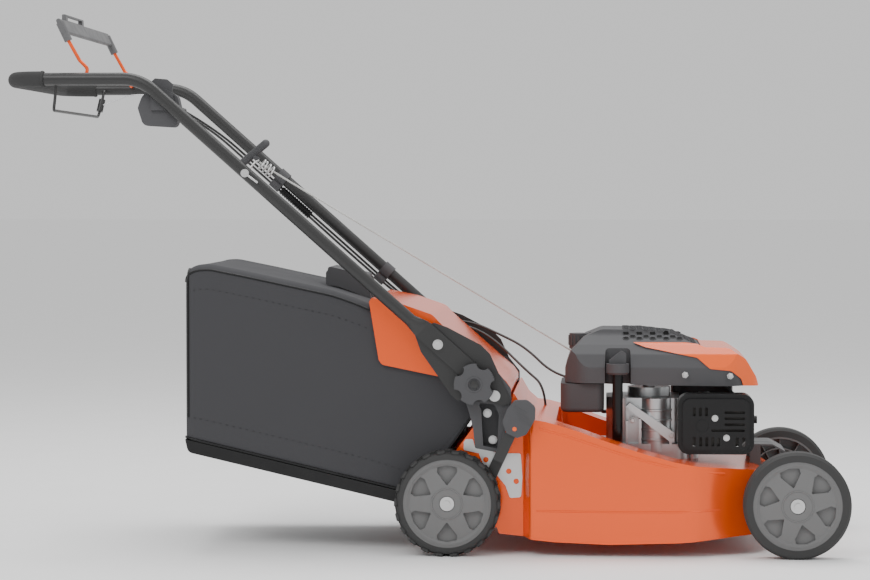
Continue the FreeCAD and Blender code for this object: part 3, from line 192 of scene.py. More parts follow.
def shade(colour, factor):
    return tuple(min(1.0, c * factor) for c in colour)


def surface(name, colour, rough, metal=0.0, coat=0.0, grain=(900, 0.25, 0.0002), blotch=0.12,
            uneven=0.1):
    """A finish with cloudy colour, uneven roughness and a fine grain in relief."""
    if name in bpy.data.materials:
        return bpy.data.materials[name]
    wear = bpy.context.scene.mower_finishes.wear
    material = bpy.data.materials.new(name)
    material.use_nodes = True
    tree = material.node_tree
    shader = tree.nodes["Principled BSDF"]
    place = add_node(tree, "ShaderNodeTexCoord").outputs["Object"]
    cloud = noise_node(tree, place, 7, 6)
    low = shade(colour, 1 - blotch * wear)
    high = shade(colour, 1 + blotch * wear)
    tree.links.new(two_tone(tree, spread(tree, cloud, 0, 1), low, high), shader.inputs["Base Color"])
    patch = noise_node(tree, place, 34, 5)
    tree.links.new(spread(tree, patch, max(0.04, rough - uneven * wear), rough + uneven * wear),
                   shader.inputs["Roughness"])
    fine = noise_node(tree, place, grain[0], 3)
    tree.links.new(relief(tree, fine, grain[1], grain[2]), shader.inputs["Normal"])
    shader.inputs["Metallic"].default_value = metal
    shader.inputs["Specular IOR Level"].default_value = 0.5 if max(colour) > 0.3 else 0.26
    shader.inputs["Coat Weight"].default_value = coat
    shader.inputs["Coat Roughness"].default_value = 0.08
    return material


def finishes():
    return bpy.context.scene.mower_finishes


def orange_paint():
    return surface("orange_paint", tuple(finishes().paint), 0.34, coat=0.55,
                   grain=(260, 0.12, 0.0003), blotch=0.05, uneven=0.07)


def orange_plastic():
    return surface("orange_plastic", tuple(finishes().paint), 0.42, coat=0.2,
                   grain=(800, 0.15, 0.0002), blotch=0.05)


def charcoal_plastic():
    return surface("charcoal_plastic", tuple(finishes().charcoal), 0.5, grain=(1300, 0.35, 0.0003),
                   blotch=0.14, uneven=0.08)


def smooth_dark():
    return surface("smooth_dark", shade(finishes().charcoal, 0.62), 0.36, coat=0.1,
                   grain=(700, 0.1, 0.0002), uneven=0.1)


def wheel_plastic():
    return surface("wheel_plastic", tuple(finishes().wheel), 0.52, grain=(1500, 0.3, 0.0002),
                   blotch=0.1, uneven=0.08)


def tyre_rubber():
    return surface("tyre_rubber", tuple(finishes().tyre), 0.68, grain=(420, 0.4, 0.0004),
                   blotch=0.3, uneven=0.14)


def black_paint():
    return surface("black_paint", (0.009, 0.009, 0.0095), 0.3, coat=0.35, grain=(500, 0.15, 0.0002),
                   uneven=0.08)


def pale_plastic():
    return surface("pale_plastic", tuple(finishes().pale), 0.46, grain=(1200, 0.25, 0.0002),
                   blotch=0.06)


def cable_rubber():
    return surface("cable_rubber", (0.014, 0.014, 0.014), 0.42, grain=(900, 0.2, 0.0002))


def zinc():
    return surface("zinc", (0.2, 0.2, 0.196), 0.34, metal=1.0, grain=(600, 0.2, 0.0002), blotch=0.18,
                   uneven=0.14)


def bright_steel():
    return surface("bright_steel", (0.36, 0.36, 0.37), 0.28, metal=1.0, grain=(380, 0.15, 0.0002),
                   blotch=0.15, uneven=0.12)


def burnt_steel():
    return surface("burnt_steel", (0.05, 0.047, 0.044), 0.5, metal=0.7, grain=(300, 0.3, 0.0004),
                   blotch=0.3, uneven=0.15)


def cast_alloy():
    return surface("cast_alloy", (0.3, 0.305, 0.31), 0.46, metal=0.85, grain=(420, 0.6, 0.0007),
                   blotch=0.12, uneven=0.1)


# Flat black for the painted shade inside the grille's openings.
def vent_black():
    return surface("vent_black", (0.004, 0.004, 0.004), 0.8, grain=(500, 0.1, 0.0001))


def grip_foam():
    """Soft grip cover: a closed-cell skin with small pits."""
    material = surface("grip_foam", (0.01, 0.01, 0.0105), 0.62, grain=(800, 0.3, 0.0003))
    tree = material.node_tree
    if "pits" not in tree.nodes:
        place = add_node(tree, "ShaderNodeTexCoord").outputs["Object"]
        pits = add_node(tree, "ShaderNodeTexVoronoi", name="pits")
        pits.inputs["Scale"].default_value = 420
        tree.links.new(place, pits.inputs["Vector"])
        normal = relief(tree, pits.outputs["Distance"], 0.5, 0.0005)
        tree.links.new(normal, tree.nodes["Principled BSDF"].inputs["Normal"])
    return material


def woven(name, colour, thread, rough, sheen):
    """Plain weave: threads both ways in relief, with painted shade in the gaps between them and
    lighter thread tops.
    """
    if name in bpy.data.materials:
        return bpy.data.materials[name]
    material = bpy.data.materials.new(name)
    material.use_nodes = True
    tree = material.node_tree
    shader = tree.nodes["Principled BSDF"]
    place = add_node(tree, "ShaderNodeTexCoord").outputs["Object"]
    scale = 2 * math.pi / (20 * thread)
    bands = [stripes(tree, place, direction, scale) for direction in ("X", "Y", "Z")]
    over = add_node(tree, "ShaderNodeMath", operation="MULTIPLY")
    tree.links.new(bands[0], over.inputs[0])
    tree.links.new(bands[2], over.inputs[1])
    mesh = add_node(tree, "ShaderNodeMath", operation="MAXIMUM")
    across = add_node(tree, "ShaderNodeMath", operation="MULTIPLY")
    tree.links.new(bands[1], across.inputs[0])
    tree.links.new(bands[2], across.inputs[1])
    tree.links.new(over.outputs[0], mesh.inputs[0])
    tree.links.new(across.outputs[0], mesh.inputs[1])
    cloud = noise_node(tree, place, 9, 5)
    # Painted shade: the relief mask darkens the gaps between threads and lightens the thread tops.
    thread_gap_shade = two_tone(tree, mesh.outputs[0], shade(colour, 0.55), shade(colour, 1.35))
    dusty = two_tone(tree, spread(tree, cloud, 0, 1), shade(colour, 0.8), shade(colour, 1.25))
    blend = add_node(tree, "ShaderNodeMix", data_type="RGBA", blend_type="MIX")
    blend.inputs[0].default_value = 0.5
    tree.links.new(thread_gap_shade, blend.inputs[6])
    tree.links.new(dusty, blend.inputs[7])
    tree.links.new(blend.outputs[2], shader.inputs["Base Color"])
    tree.links.new(spread(tree, cloud, rough - 0.08, rough + 0.08), shader.inputs["Roughness"])
    tree.links.new(relief(tree, mesh.outputs[0], 0.55, thread * 0.4), shader.inputs["Normal"])
    shader.inputs["Specular IOR Level"].default_value = 0.15
    shader.inputs["Sheen Weight"].default_value = sheen
    shader.inputs["Sheen Roughness"].default_value = 0.5
    return material


def bag_cloth():
    return woven("bag_cloth", tuple(finishes().cloth), 0.0024, 0.85, 0.06)


def rope_cloth():
    return woven("rope_cloth", (0.62, 0.62, 0.6), 0.0018, 0.75, 0.1)


CAD_FINISHES = {
    orange_paint: ["deck_shell", "brake_bail_rods", "discharge_flap"],
    orange_plastic: ["shroud_trim"],
    charcoal_plastic: [
        "post_brackets", "star_knob_right", "star_knob_left", "cable_clips",
        "speed_housing", "speed_lever", "starter_grip", "bag_handle", "height_lever_grip",
        "blower_shroud", "air_filter_cover", "dipstick_cap", "fuel_cap", "fuel_tank"],
    smooth_dark: ["bag_base", "muffler_guard", "oil_tube"],
    wheel_plastic: ["rear_rim_right", "rear_rim_left", "front_rim_right", "front_rim_left"],
    tyre_rubber: ["front_tyre_right", "front_tyre_left"],
    black_paint: ["handle_plates", "handle_tube", "drive_bail", "height_lever", "blade"],
    pale_plastic: ["carry_strap", "brake_bail_cover"],
    cable_rubber: ["drive_belt", "spark_plug"],
    zinc: ["rear_crank", "front_crank", "height_sector", "gearbox_pulley", "height_link",
           "blade_bolt", "case_bolts", "pivot_studs", "handle_hardware"],
    bright_steel: ["crankshaft", "blade_adapter"],
    burnt_steel: ["muffler"],
    cast_alloy: ["gearbox", "sump_cover", "engine_block", "carburettor", "flywheel"],
    grip_foam: ["grip_sleeve"],
}


# ---- Mesh helpers --------------------------------------------------------------------------

def new_piece(name, mesh, material, body=None, smooth=True):
    """Links a mesh as a piece, gives it its finish and lets it ride on a body."""
    piece = bpy.data.objects.new(name, mesh)
    bpy.context.scene.collection.objects.link(piece)
    mesh.materials.clear()
    mesh.materials.append(material)
    if smooth:
        mesh.polygons.foreach_set("use_smooth", [True] * len(mesh.polygons))
        mesh.set_sharp_from_angle(angle=math.radians(38))
    if body:
        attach(piece, body)
    return piece


def mesh_from(name, build):
    """A mesh made by a function that fills a bmesh."""
    work = bmesh.new()
    build(work)
    bmesh.ops.recalc_face_normals(work, faces=work.faces)
    mesh = bpy.data.meshes.new(name)
    work.to_mesh(mesh)
    work.free()
    return mesh


def turn(work, profile, start, axis, segments=48):
    """Revolves a closed profile of (radius, distance) about an axis through start."""
    along = axis.normalized()
    side = along.orthogonal().normalized()
    other = along.cross(side)
    rings = []
    for i in range(segments):
        angle = 2 * math.pi * i / segments
        out = side * math.cos(angle) + other * math.sin(angle)
        rings.append([work.verts.new(start + along * d + out * r) for r, d in profile])
    count = len(profile)
    for i in range(segments):
        ring, after = rings[i], rings[(i + 1) % segments]
        for k in range(count):
            work.faces.new((ring[k], ring[(k + 1) % count], after[(k + 1) % count], after[k]))


def turned(name, profile, start, axis, material, body, segments=48):
    mesh = mesh_from(name, lambda work: turn(work, profile, start, axis, segments))
    return new_piece(name, mesh, material, body)


def smooth_line(name, points, radius, sides=6, cyclic=False):
    """A round tube as a mesh, along one smooth spline with these control points."""
    curve = bpy.data.curves.new(name, "CURVE")
    curve.dimensions = "3D"
    curve.bevel_depth = radius
    curve.bevel_resolution = sides
    curve.use_fill_caps = True
    spline = curve.splines.new("NURBS")
    spline.points.add(len(points) - 1)
    for spot, point in zip(spline.points, points):
        spot.co = (*point, 1)
    spline.order_u = 3
    spline.use_endpoint_u = not cyclic
    spline.use_cyclic_u = cyclic
    spline.resolution_u = 10
    holder = bpy.data.objects.new(name + "_line", curve)
    bpy.context.scene.collection.objects.link(holder)
    bpy.context.view_layer.update()
    mesh = bpy.data.meshes.new_from_object(
        holder.evaluated_get(bpy.context.evaluated_depsgraph_get()))
    bpy.data.objects.remove(holder)
    bpy.data.curves.remove(curve)
    return mesh


def brick(work, centre, size, turned_by=None):
    """A small box with softened edges, placed at a point and turned to suit."""
    matrix = Matrix.Translation(centre)
    if turned_by is not None:
        matrix = matrix @ turned_by.to_4x4()
    matrix = matrix @ Matrix.Diagonal((*size, 1))
    made = bmesh.ops.create_cube(work, size=1.0, matrix=matrix)
    edges = {edge for vert in made["verts"] for edge in vert.link_edges}
    bmesh.ops.bevel(work, geom=list(edges), offset=min(size) * 0.2, segments=2, affect="EDGES")


def seen_from(names):
    """A tree for finding where a ray meets these frame nodes."""
    work = bmesh.new()
    for name in names:
        work.from_mesh(NODES[name].data)
    tree = BVHTree.FromBMesh(work)
    work.free()
    return tree


# ---- Frame finishes ------------------------------------------------------------------------

class MOWER_OT_finishes(bpy.types.Operator):
    """Gives every node of the frame its finish"""
    bl_idname = "mower.finishes"
    bl_label = "Frame finishes"

    def execute(self, context):
        for finish, names in CAD_FINISHES.items():
            material = finish()
            for name in names:
                mesh = NODES[name].data
                mesh.materials.clear()
                mesh.materials.append(material)
                mesh.polygons.foreach_set("use_smooth", [True] * len(mesh.polygons))
                mesh.set_sharp_from_angle(angle=math.radians(32))
                soften_edges(NODES[name])
        return {"FINISHED"}


EDGES = {"deck_shell": 0.0006, "height_lever_grip": 0.003, "blower_shroud": 0.0012,
         "shroud_trim": 0.0008, "speed_housing": 0.002, "discharge_flap": 0.001,
         "muffler_guard": 0.0008, "bag_base": 0.0012, "dipstick_cap": 0.001, "fuel_cap": 0.0006,
         "star_knob_right": 0.002, "star_knob_left": 0.002, "bag_handle": 0.0015,
         "carry_strap": 0.0007, "brake_bail_cover": 0.0012, "handle_plates": 0.0006,
         "post_brackets": 0.001, "fuel_tank": 0.0015}


def soften_edges(node):
    """A small bevel that catches the light on the edges of moulded and pressed pieces."""
    if node.name not in EDGES:
        return
    bevel = node.modifiers.new("soft_edges", "BEVEL")
    bevel.width = EDGES[node.name]
    bevel.segments = 2
    bevel.limit_method = "ANGLE"
    bevel.angle_limit = math.radians(40)
    bevel.harden_normals = False
    bevel.use_clamp_overlap = True


# ---- Tyres and wheels ----------------------------------------------------------------------

class MOWER_OT_tyres(bpy.types.Operator):
    """Builds the rear tyres with their chunky tread, and dresses the hubs"""
    bl_idname = "mower.tyres"
    bl_label = "Tyres and hubs"

    def execute(self, context):
        sizes = context.scene.mower_sizes
        for name, side in SIDES:
            make_rear_tyre(name, side, sizes)
            for end in ("rear", "front"):
                make_hub_ring(end, name, side)
                make_inner_ribs(end, name, side)
        return {"FINISHED"}


def make_rear_tyre(name, side, sizes):
    low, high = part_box("rear_tyre_" + name)
    wide = high.y - low.y
    centre = Vector(((low.x + high.x) / 2, low.y, (low.z + high.z) / 2))
    base = WHEEL_RADIUS - sizes.lug_height
    inner = WHEEL_RADIUS - 0.0178
    profile = [(inner, 0), (base - 0.007, 0), (base - 0.002, 0.003), (base, 0.008),
               (base, wide - 0.008), (base - 0.002, wide - 0.003), (base - 0.007, wide),
               (inner, wide)]

    def build(work):
        turn(work, profile, centre, Vector((0, 1, 0)), 120)
        pitch = 2 * math.pi / sizes.lugs
        for i in range(sizes.lugs):
            for row, offset in ((0.27, 0.0), (0.73, 0.5)):
                angle = (i + offset) * pitch
                out = Vector((math.cos(angle), 0, math.sin(angle)))
                lean = Matrix.Rotation(0.22 * (1 if row < 0.5 else -1), 3, "Z")
                turned_by = Matrix.Rotation(-angle + math.pi / 2, 3, "Y") @ lean
                spot = centre + Vector((0, wide * row, 0)) + out * (base + sizes.lug_height * 0.28)
                length = base * pitch * 0.56
                brick(work, spot, (length, wide * 0.46, sizes.lug_height * 1.36), turned_by)

    mesh = mesh_from("rear_tread_" + name, build)
    keep_inside(mesh, centre, WHEEL_RADIUS)
    piece = new_piece("rear_tread_" + name, mesh, tyre_rubber(), "rear_wheel_" + name)
    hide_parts("rear_tyre_" + name)


def keep_inside(mesh, centre, radius):
    """Brings the outermost points of a tread back to the wheel's radius."""
    for vert in mesh.vertices:
        flat = Vector((vert.co.x - centre.x, 0, vert.co.z - centre.z))
        if flat.length > radius:
            flat *= radius / flat.length
            vert.co = (centre.x + flat.x, vert.co.y, centre.z + flat.z)


def make_hub_ring(end, name, side):
    """A raised ring round the hub and a bead where the disc meets the rim."""
    low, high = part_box("%s_rim_%s" % (end, name))
    outer = high.y if side > 0 else low.y
    centre = Vector(((low.x + high.x) / 2, outer, (low.z + high.z) / 2))
    inward = Vector((0, -side, 0))
    rings = [[(0.0285, 0.0002), (0.0315, 0.0002), (0.031, -0.0012), (0.029, -0.0012)],
             [(0.0795, 0.0025), (0.0825, 0.0025), (0.082, 0.0008), (0.080, 0.0008)]]

    def build(work):
        for ring in rings:
            turn(work, ring, centre, inward, 72)

    mesh = mesh_from("%s_hub_rings_%s" % (end, name), build)
    new_piece(mesh.name, mesh, wheel_plastic(), "%s_wheel_%s" % (end, name))


def make_inner_ribs(end, name, side):
    """Radial ribs between the rings on the wheel's inner face."""
    low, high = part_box("%s_rim_%s" % (end, name))
    inner = low.y if side > 0 else high.y
    centre = Vector(((low.x + high.x) / 2, inner + side * 0.022, (low.z + high.z) / 2))

    def build(work):
        for i in range(12):
            angle = 2 * math.pi * i / 12
            out = Vector((math.cos(angle), 0, math.sin(angle)))
            turned_by = Matrix.Rotation(-angle, 3, "Y")
            brick(work, centre + out * 0.0505, (0.017, 0.018, 0.0022), turned_by)
            brick(work, centre + out * 0.0725, (0.019, 0.018, 0.0022), turned_by)

    mesh = mesh_from("%s_inner_ribs_%s" % (end, name), build)
    new_piece(mesh.name, mesh, wheel_plastic(), "%s_wheel_%s" % (end, name))


# ---- Grass bag -----------------------------------------------------------------------------

BAG_TOP = [(-530, 566), (-505, 573), (-482, 575), (-400, 558.5), (-320, 541.5), (-236, 523.5),
           (-190, 508), (-150, 491), (-40, 406), (66, 323)]
BAG_MOUTH = [(-63, 116), (68, 300)]
BAG_HALF = 221.5
BAG_ROUND = 26
ROWS = 14
STATIONS = 44


def between(points, x):
    for (x0, z0), (x1, z1) in zip(points, points[1:]):
        if x <= x1:
            return z0 + (z1 - z0) * (x - x0) / (x1 - x0)
    return points[-1][1]


def bag_low(x):
    return between(BAG_MOUTH, x) if x > BAG_MOUTH[0][0] else 99.8 - 0.2336 * x


def bag_arch(x, inset):
    """Points of one arch of cloth, from the right seam over the top to the left seam."""
    low = bag_low(x)
    half = BAG_HALF - inset
    high = between(BAG_TOP, x) - inset
    radius = max(4, min(BAG_ROUND, (high - low) * 0.45))
    right = []
    for i in range(ROWS):
        right.append((-half, low + (high - radius - low) * i / ROWS))
    for i in range(9):
        angle = math.pi - math.pi / 2 * i / 8
        right.append((-half + radius + radius * math.cos(angle),
                      high - radius + radius * math.sin(angle)))
    flat = half - radius
    for i in range(1, ROWS):
        right.append((-flat * (1 - i / ROWS), high))
    return right + [(0, high)] + [(-y, z) for y, z in reversed(right)]


def bag_place(x, y, z, low, high, sizes):
    """Cloth pulled in between its edges, with shallow folds that run down from the corners."""
    share = (z - low) / max(1.0, high - low)
    pull = math.sin(math.pi * min(1.0, max(0.0, share))) * sizes.bag_sag
    along = math.sin(math.pi * min(1.0, max(0.0, (x + 530) / 598)))
    spot = at(x, y, z)
    out = Vector((0, 1 if y > 0 else -1, 0)) if abs(y) > 190 else Vector((0, 0, 1))
    folds = noise.noise(Vector((x * 0.011, y * 0.006 + 4, z * 0.018)))
    ripple = noise.noise(Vector((x * 0.035 + 9, y * 0.02, z * 0.03)))
    depth = sizes.wrinkle * (folds * 0.8 + ripple * 0.35) * along
    return spot - out * (pull * along * 0.8 + sizes.wrinkle * 0.3) + out * depth


class MOWER_OT_bag(bpy.types.Operator):
    """Builds the grass bag's cloth with its piping, seams and stitches"""
    bl_idname = "mower.bag"
    bl_label = "Grass bag"

    def execute(self, context):
        sizes = context.scene.mower_sizes
        arches = bag_arches(sizes)
        make_bag_cloth(arches)
        make_bag_piping(arches)
        make_bag_stitches(arches, sizes)
        return {"FINISHED"}


def bag_arches(sizes):
    arches = []
    ends = [(-530, 16), (-528.5, 9), (-524, 4), (-516, 1)]
    steps = ends + [(-505 + 571 * i / (STATIONS - 1), 0) for i in range(STATIONS)]
    for x, inset in steps:
        low, high = bag_low(x), between(BAG_TOP, x)
        arches.append([bag_place(x, y, z, low, high, sizes) for y, z in bag_arch(x, inset)])
    return arches


def make_bag_cloth(arches):
    count = len(arches[0])

    def build(work):
        rows = [[work.verts.new(point) for point in arch] for arch in arches]
        for row, after in zip(rows, rows[1:]):
            for i in range(count - 1):
                work.faces.new((row[i], row[i + 1], after[i + 1], after[i]))
        columns = 14
        half = count // 2
        previous = None
        for i in range(half):
            left, right = rows[0][i], rows[0][count - 1 - i]
            line = [left]
            for k in range(1, columns):
                share = k / columns
                point = left.co.lerp(right.co, share)
                bulge = math.sin(math.pi * share) * math.sin(math.pi * min(1, i / half))
                dent = noise.noise(point * 14) * 0.003
                line.append(work.verts.new(point + Vector((-0.006 * bulge - dent * bulge, 0, 0))))
            line.append(right)
            if previous:
                for k in range(columns):
                    work.faces.new((previous[k], previous[k + 1], line[k + 1], line[k]))
            previous = line
        for k in range(columns):
            work.faces.new((previous[k], previous[k + 1], rows[0][half]))

    piece = new_piece("bag_cloth", mesh_from("bag_cloth", build), bag_cloth(), "bag")
    rounded = piece.modifiers.new("rounded", "SUBSURF")
    rounded.levels = 1
    rounded.render_levels = 1
    wall = piece.modifiers.new("wall", "SOLIDIFY")
    wall.thickness = 0.0016
    wall.offset = -1
    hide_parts("bag_fabric")


def make_bag_piping(arches):
    """Round piping along the top edges, round the back, and a hem along the bottom seam."""
    lines = {"bag_piping_right": ROWS + 3, "bag_piping_left": -ROWS - 4}
    for name, index in lines.items():
        points = [arch[index] for arch in arches]
        mesh = smooth_line(name, points, 0.0024, 3)
        new_piece(name, mesh, smooth_dark(), "bag")
    rear = arches[2]
    mesh = smooth_line("bag_piping_rear", rear[2:-2], 0.0024, 3)
    new_piece("bag_piping_rear", mesh, smooth_dark(), "bag")
    for name, index in (("bag_hem_right", 0), ("bag_hem_left", -1)):
        points = [arch[index] + Vector((0, 0, 0.003)) for arch in arches]
        mesh = smooth_line(name, points, 0.0028, 3)
        new_piece(name, mesh, smooth_dark(), "bag")


def make_bag_stitches(arches, sizes):
    """Two rows of stitches beside the piping on each side, and one beside the hem."""
    count = len(arches[0])
    rows = [ROWS - 1, 2]

    def build(work):
        for row in rows:
            for index in (row, count - 1 - row):
                line = [arch[index] for arch in arches[3:]]
                for start, end in zip(line, line[1:]):
                    gap = end - start
                    steps = max(1, int(gap.length / (sizes.stitch * 1.7)))
                    out = Vector((0, -1 if start.y < 0 else 1, 0))
                    frame_axes = Matrix((gap.normalized(), out, gap.normalized().cross(out)))
                    for k in range(steps):
                        spot = start + gap * ((k + 0.5) / steps) + out * 0.0003
                        brick(work, spot, (sizes.stitch, 0.0012, 0.0012), frame_axes.transposed())

    mesh = mesh_from("bag_stitches", build)
    new_piece("bag_stitches", mesh, pale_stitch(), "bag")


def pale_stitch():
    return surface("stitch_thread", (0.035, 0.035, 0.037), 0.7, grain=(1500, 0.3, 0.0002))


# ---- Rope and cables -----------------------------------------------------------------------

ROPE = [(-376.5, -236.2, 777.7), (-364.8, -239, 768.3), (-240, -203, 691), (-90, -160, 599),
        (60, -117, 507), (170, -86, 439), (252, -62, 388)]
DRIVE_CABLE = [at(-640, 262, 905), up_handle(700, -25, 268), up_handle(560, -26, 268),
               up_handle(420, -25, 268), up_handle(280, -26, 268), up_handle(140, -24, 267),
               up_handle(40, -14, 248), at(10, 239, 432), at(70, 214, 404), at(140, 160, 340),
               at(185, 120, 306), at(185, 120, 244)]
BRAKE_CABLE = [at(-650, 268, 918), up_handle(690, -19, 274), up_handle(550, -18.5, 273.5),
               up_handle(415, -19.5, 273.5), up_handle(275, -18.5, 273.5),
               up_handle(140, -19.5, 273.5), up_handle(40, -9, 254), at(16, 246, 440),
               at(80, 216, 414), at(140, 190, 386), at(200, 150, 330), at(290, 112, 316),
               at(345, 112, 316)]


class MOWER_OT_cables(bpy.types.Operator):
    """Runs the starter rope and the two control cables from the engine to the handle"""
    bl_idname = "mower.cables"
    bl_label = "Rope and cables"

    def execute(self, context):
        sizes = context.scene.mower_sizes
        rope = [at(*point) for point in ROPE]
        mesh = smooth_line("starter_rope_braid", rope, sizes.rope_radius, 5)
        piece = new_piece("starter_rope_braid", mesh, rope_cloth(), None)
        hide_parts("starter_rope")
        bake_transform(piece)
        for name, points, node in (("drive_cable_sleeve", DRIVE_CABLE, "drive_cable"),
                                   ("brake_cable_sleeve", BRAKE_CABLE, "brake_cable")):
            mesh = smooth_line(name, points, sizes.cable_radius, 5)
            piece = new_piece(name, mesh, cable_rubber(), None)
            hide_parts(node)
            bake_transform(piece)
        make_ribbed_sleeve()
        return {"FINISHED"}


def make_ribbed_sleeve():
    """A corrugated sleeve that holds both cables below the upper clip."""
    start = up_handle(400, -22, 271)
    end = up_handle(484, -22, 271)
    length = (end - start).length
    profile = [(0.0066, 0.0)]
    ribs = 14
    for i in range(ribs):
        base = length * i / ribs
        profile += [(0.0078, base), (0.0092, base + 0.0012), (0.0092, base + 0.003),
                    (0.0078, base + 0.0042)]
    profile += [(0.0078, length), (0.0066, length)]
    turned("cable_sleeve_ribs", profile, start, end - start, smooth_dark(), "handle",
           28)


# ---- Handle details ------------------------------------------------------------------------

class MOWER_OT_handle_details(bpy.types.Operator):
    """Adds the rope spiral, cable ends, knob nuts and the small parts on the handle"""
    bl_idname = "mower.handle_details"
    bl_label = "Handle details"

    def execute(self, context):
        make_rope_spiral()
        make_cable_end()
        make_knob_nuts()
        make_pod_knob()
        make_grip_ends()
        return {"FINISHED"}


def make_rope_spiral():
    """Open wire coil drawn where the rope meets the handle."""
    centre = at(-370.8, -240, 772.3)
    axis = Vector((0.75, 0.2, -0.63)).normalized()
    side = axis.orthogonal().normalized()
    other = axis.cross(side)
    points = []
    turns, steps = 2.6, 60
    for i in range(steps + 1):
        angle = 2 * math.pi * turns * i / steps
        out = side * math.cos(angle) + other * math.sin(angle)
        points.append(centre + axis * (0.004 + 0.022 * i / steps) + out * 0.0115)
    mesh = smooth_line("rope_spiral", points, 0.0017, 4)
    new_piece("rope_spiral", mesh, zinc(), "handle")


def make_cable_end():
    """Thin wire and nipple from the drive bail to its cable."""
    points = [at(-781, 234, 907), at(-750, 236, 918), at(-722, 240, 929), at(-680, 250, 930),
              at(-650, 258, 915)]
    mesh = smooth_line("drive_wire", points, 0.0011, 3)
    new_piece("drive_wire", mesh, bright_steel(), "handle")
    for name, start, end in (("drive_ferrule", at(-662, 256, 922), at(-632, 263, 901)),
                             ("brake_ferrule", at(-668, 265, 930), at(-640, 270, 911))):
        profile = [(0.0, 0), (0.0038, 0), (0.0042, 0.002), (0.0042, 0.016), (0.0036, 0.018),
                   (0.0036, 0.03), (0.0, 0.03)]
        turned(name, profile, start, end - start, black_paint(), "handle", 20)


def make_knob_nuts():
    """A hexagon insert and a collar in the middle of each star knob."""
    for name, side in SIDES:
        low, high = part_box("star_knob_" + name)
        face = high.y if side > 0 else low.y
        middle = at(KNOB_X, 0, KNOB_Z)
        centre = Vector((middle.x, face - side * 0.0037, middle.z))
        hexagon = [(0.0, 0), (0.0085, 0), (0.0085, 0.0026), (0.0055, 0.0034), (0.0, 0.0034)]
        turned("knob_nut_" + name, hexagon, centre, Vector((0, side, 0)), black_paint(),
               "knob_" + name, 6)
        collar = [(0.0122, 0.0032), (0.0158, 0.0032), (0.0154, 0.0048), (0.0126, 0.0048)]
        turned("knob_collar_" + name, collar, centre, Vector((0, side, 0)), charcoal_plastic(),
               "knob_" + name, 40)


def make_pod_knob():
    """Adjuster on the speed control's housing, with a row of flutes."""
    start = at(-536, -238, 880)
    profile = [(0.0, 0), (0.0075, 0), (0.0082, 0.002), (0.0078, 0.004), (0.0082, 0.006),
               (0.0078, 0.008), (0.0082, 0.01), (0.007, 0.0125), (0.0, 0.0125)]
    turned("pod_adjuster", profile, start, Vector((0.9, 0, -0.35)), smooth_dark(), "handle",
           24)


def make_grip_ends():
    """Rolled hem where the soft grip ends on the tube."""
    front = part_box("grip_sleeve")[1].x
    profile = [(0.0129, 0), (0.0163, 0.0004), (0.0166, 0.003), (0.0156, 0.0052), (0.0129, 0.0052)]
    for name, side in SIDES:
        start = Vector((front - 0.004, side * TUBE_HALF / 1000, at(0, 0, HANDLE_HEIGHT).z))
        turned("grip_hem_" + name, profile, start, Vector((1, 0, 0)), grip_foam(), "handle",
               40)


# ---- Deck and engine details ---------------------------------------------------------------

class MOWER_OT_deck_details(bpy.types.Operator):
    """Adds the deck's pressed beads, the flap's spring and the ribs of the height lever"""
    bl_idname = "mower.deck_details"
    bl_label = "Deck details"

    def execute(self, context):
        deck = seen_from(["deck_shell"])
        for name, side in SIDES:
            lower = [(x, 90 + 0.0004 * (x - 300) ** 2 / 10) for x in range(176, 556, 20)]
            make_bead("deck_bead_" + name, side, lower, 0.0024, deck)
            upper = [(x, z - 9) for x, z in ((182, 262), (221, 252), (261, 240), (300, 227),
                                             (350, 211), (399, 197), (448, 186), (497, 178),
                                             (545, 172))]
            make_bead("deck_ledge_" + name, side, upper, 0.003, deck)
        make_flap_spring()
        make_lever_ribs()
        return {"FINISHED"}


def make_bead(name, side, places, radius, deck):
    """A raised bead that follows the deck's side at the given places along it."""
    points = []
    for x, z in places:
        start = at(x, side * 400, z)
        spot = deck.ray_cast(start, Vector((0, -side, 0)))[0]
        if spot is not None:
            points.append(spot - Vector((0, side * radius * 0.45, 0)))
    if len(points) < 4:
        raise RuntimeError("%s finds no deck wall" % name)
    mesh = smooth_line(name, points, radius, 4)
    new_piece(name, mesh, orange_paint(), "chassis")


def make_flap_spring():
    """Wire spring on the flap's rod that closes the flap."""
    points = []
    turns, steps = 9, 144
    for i in range(steps + 1):
        angle = 2 * math.pi * turns * i / steps
        points.append(at(FLAP_HINGE_X + 5.4 * math.cos(angle), -24 + 48 * i / steps,
                         FLAP_HINGE_Z + 5.4 * math.sin(angle)))
    mesh = smooth_line("flap_spring", points, 0.0011, 3)
    new_piece("flap_spring", mesh, zinc(), "chassis")


def make_lever_ribs():
    """Three finger ribs and a coloured dot on the height lever's grip."""
    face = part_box("height_lever_grip")[0].y

    def build(work):
        lean = Matrix.Rotation(math.radians(28), 3, "Y")
        for i in range(3):
            spot = Vector((at(152 - 4 * i, 0, 0).x, face + 0.0001, at(0, 0, 268 + 12 * i).z))
            brick(work, spot, (0.026, 0.0016, 0.0035), lean)

    mesh = mesh_from("lever_ribs", build)
    new_piece("lever_ribs", mesh, charcoal_plastic(), "height_arm")
    dot = [(0.0, 0), (0.0042, 0), (0.0042, 0.001), (0.0034, 0.0014), (0.0, 0.0014)]
    turned("lever_dot", dot, Vector((at(133, 0, 0).x, face + 0.0004, at(0, 0, 254).z)),
           Vector((0, -1, 0)), orange_plastic(), "height_arm", 24)


GRILLE_X = (352, 492)
GRILLE_HALF = 92


class MOWER_OT_engine_details(bpy.types.Operator):
    """Adds the honeycomb grille, the fuel hose, the cover screws and the crankcase's ribs"""
    bl_idname = "mower.engine_details"
    bl_label = "Engine details"

    def execute(self, context):
        shroud = seen_from(["blower_shroud"])
        make_grille(shroud, context.scene.mower_sizes.cell)
        make_fuel_hose()
        make_screws()
        make_barrel_ribs()
        return {"FINISHED"}


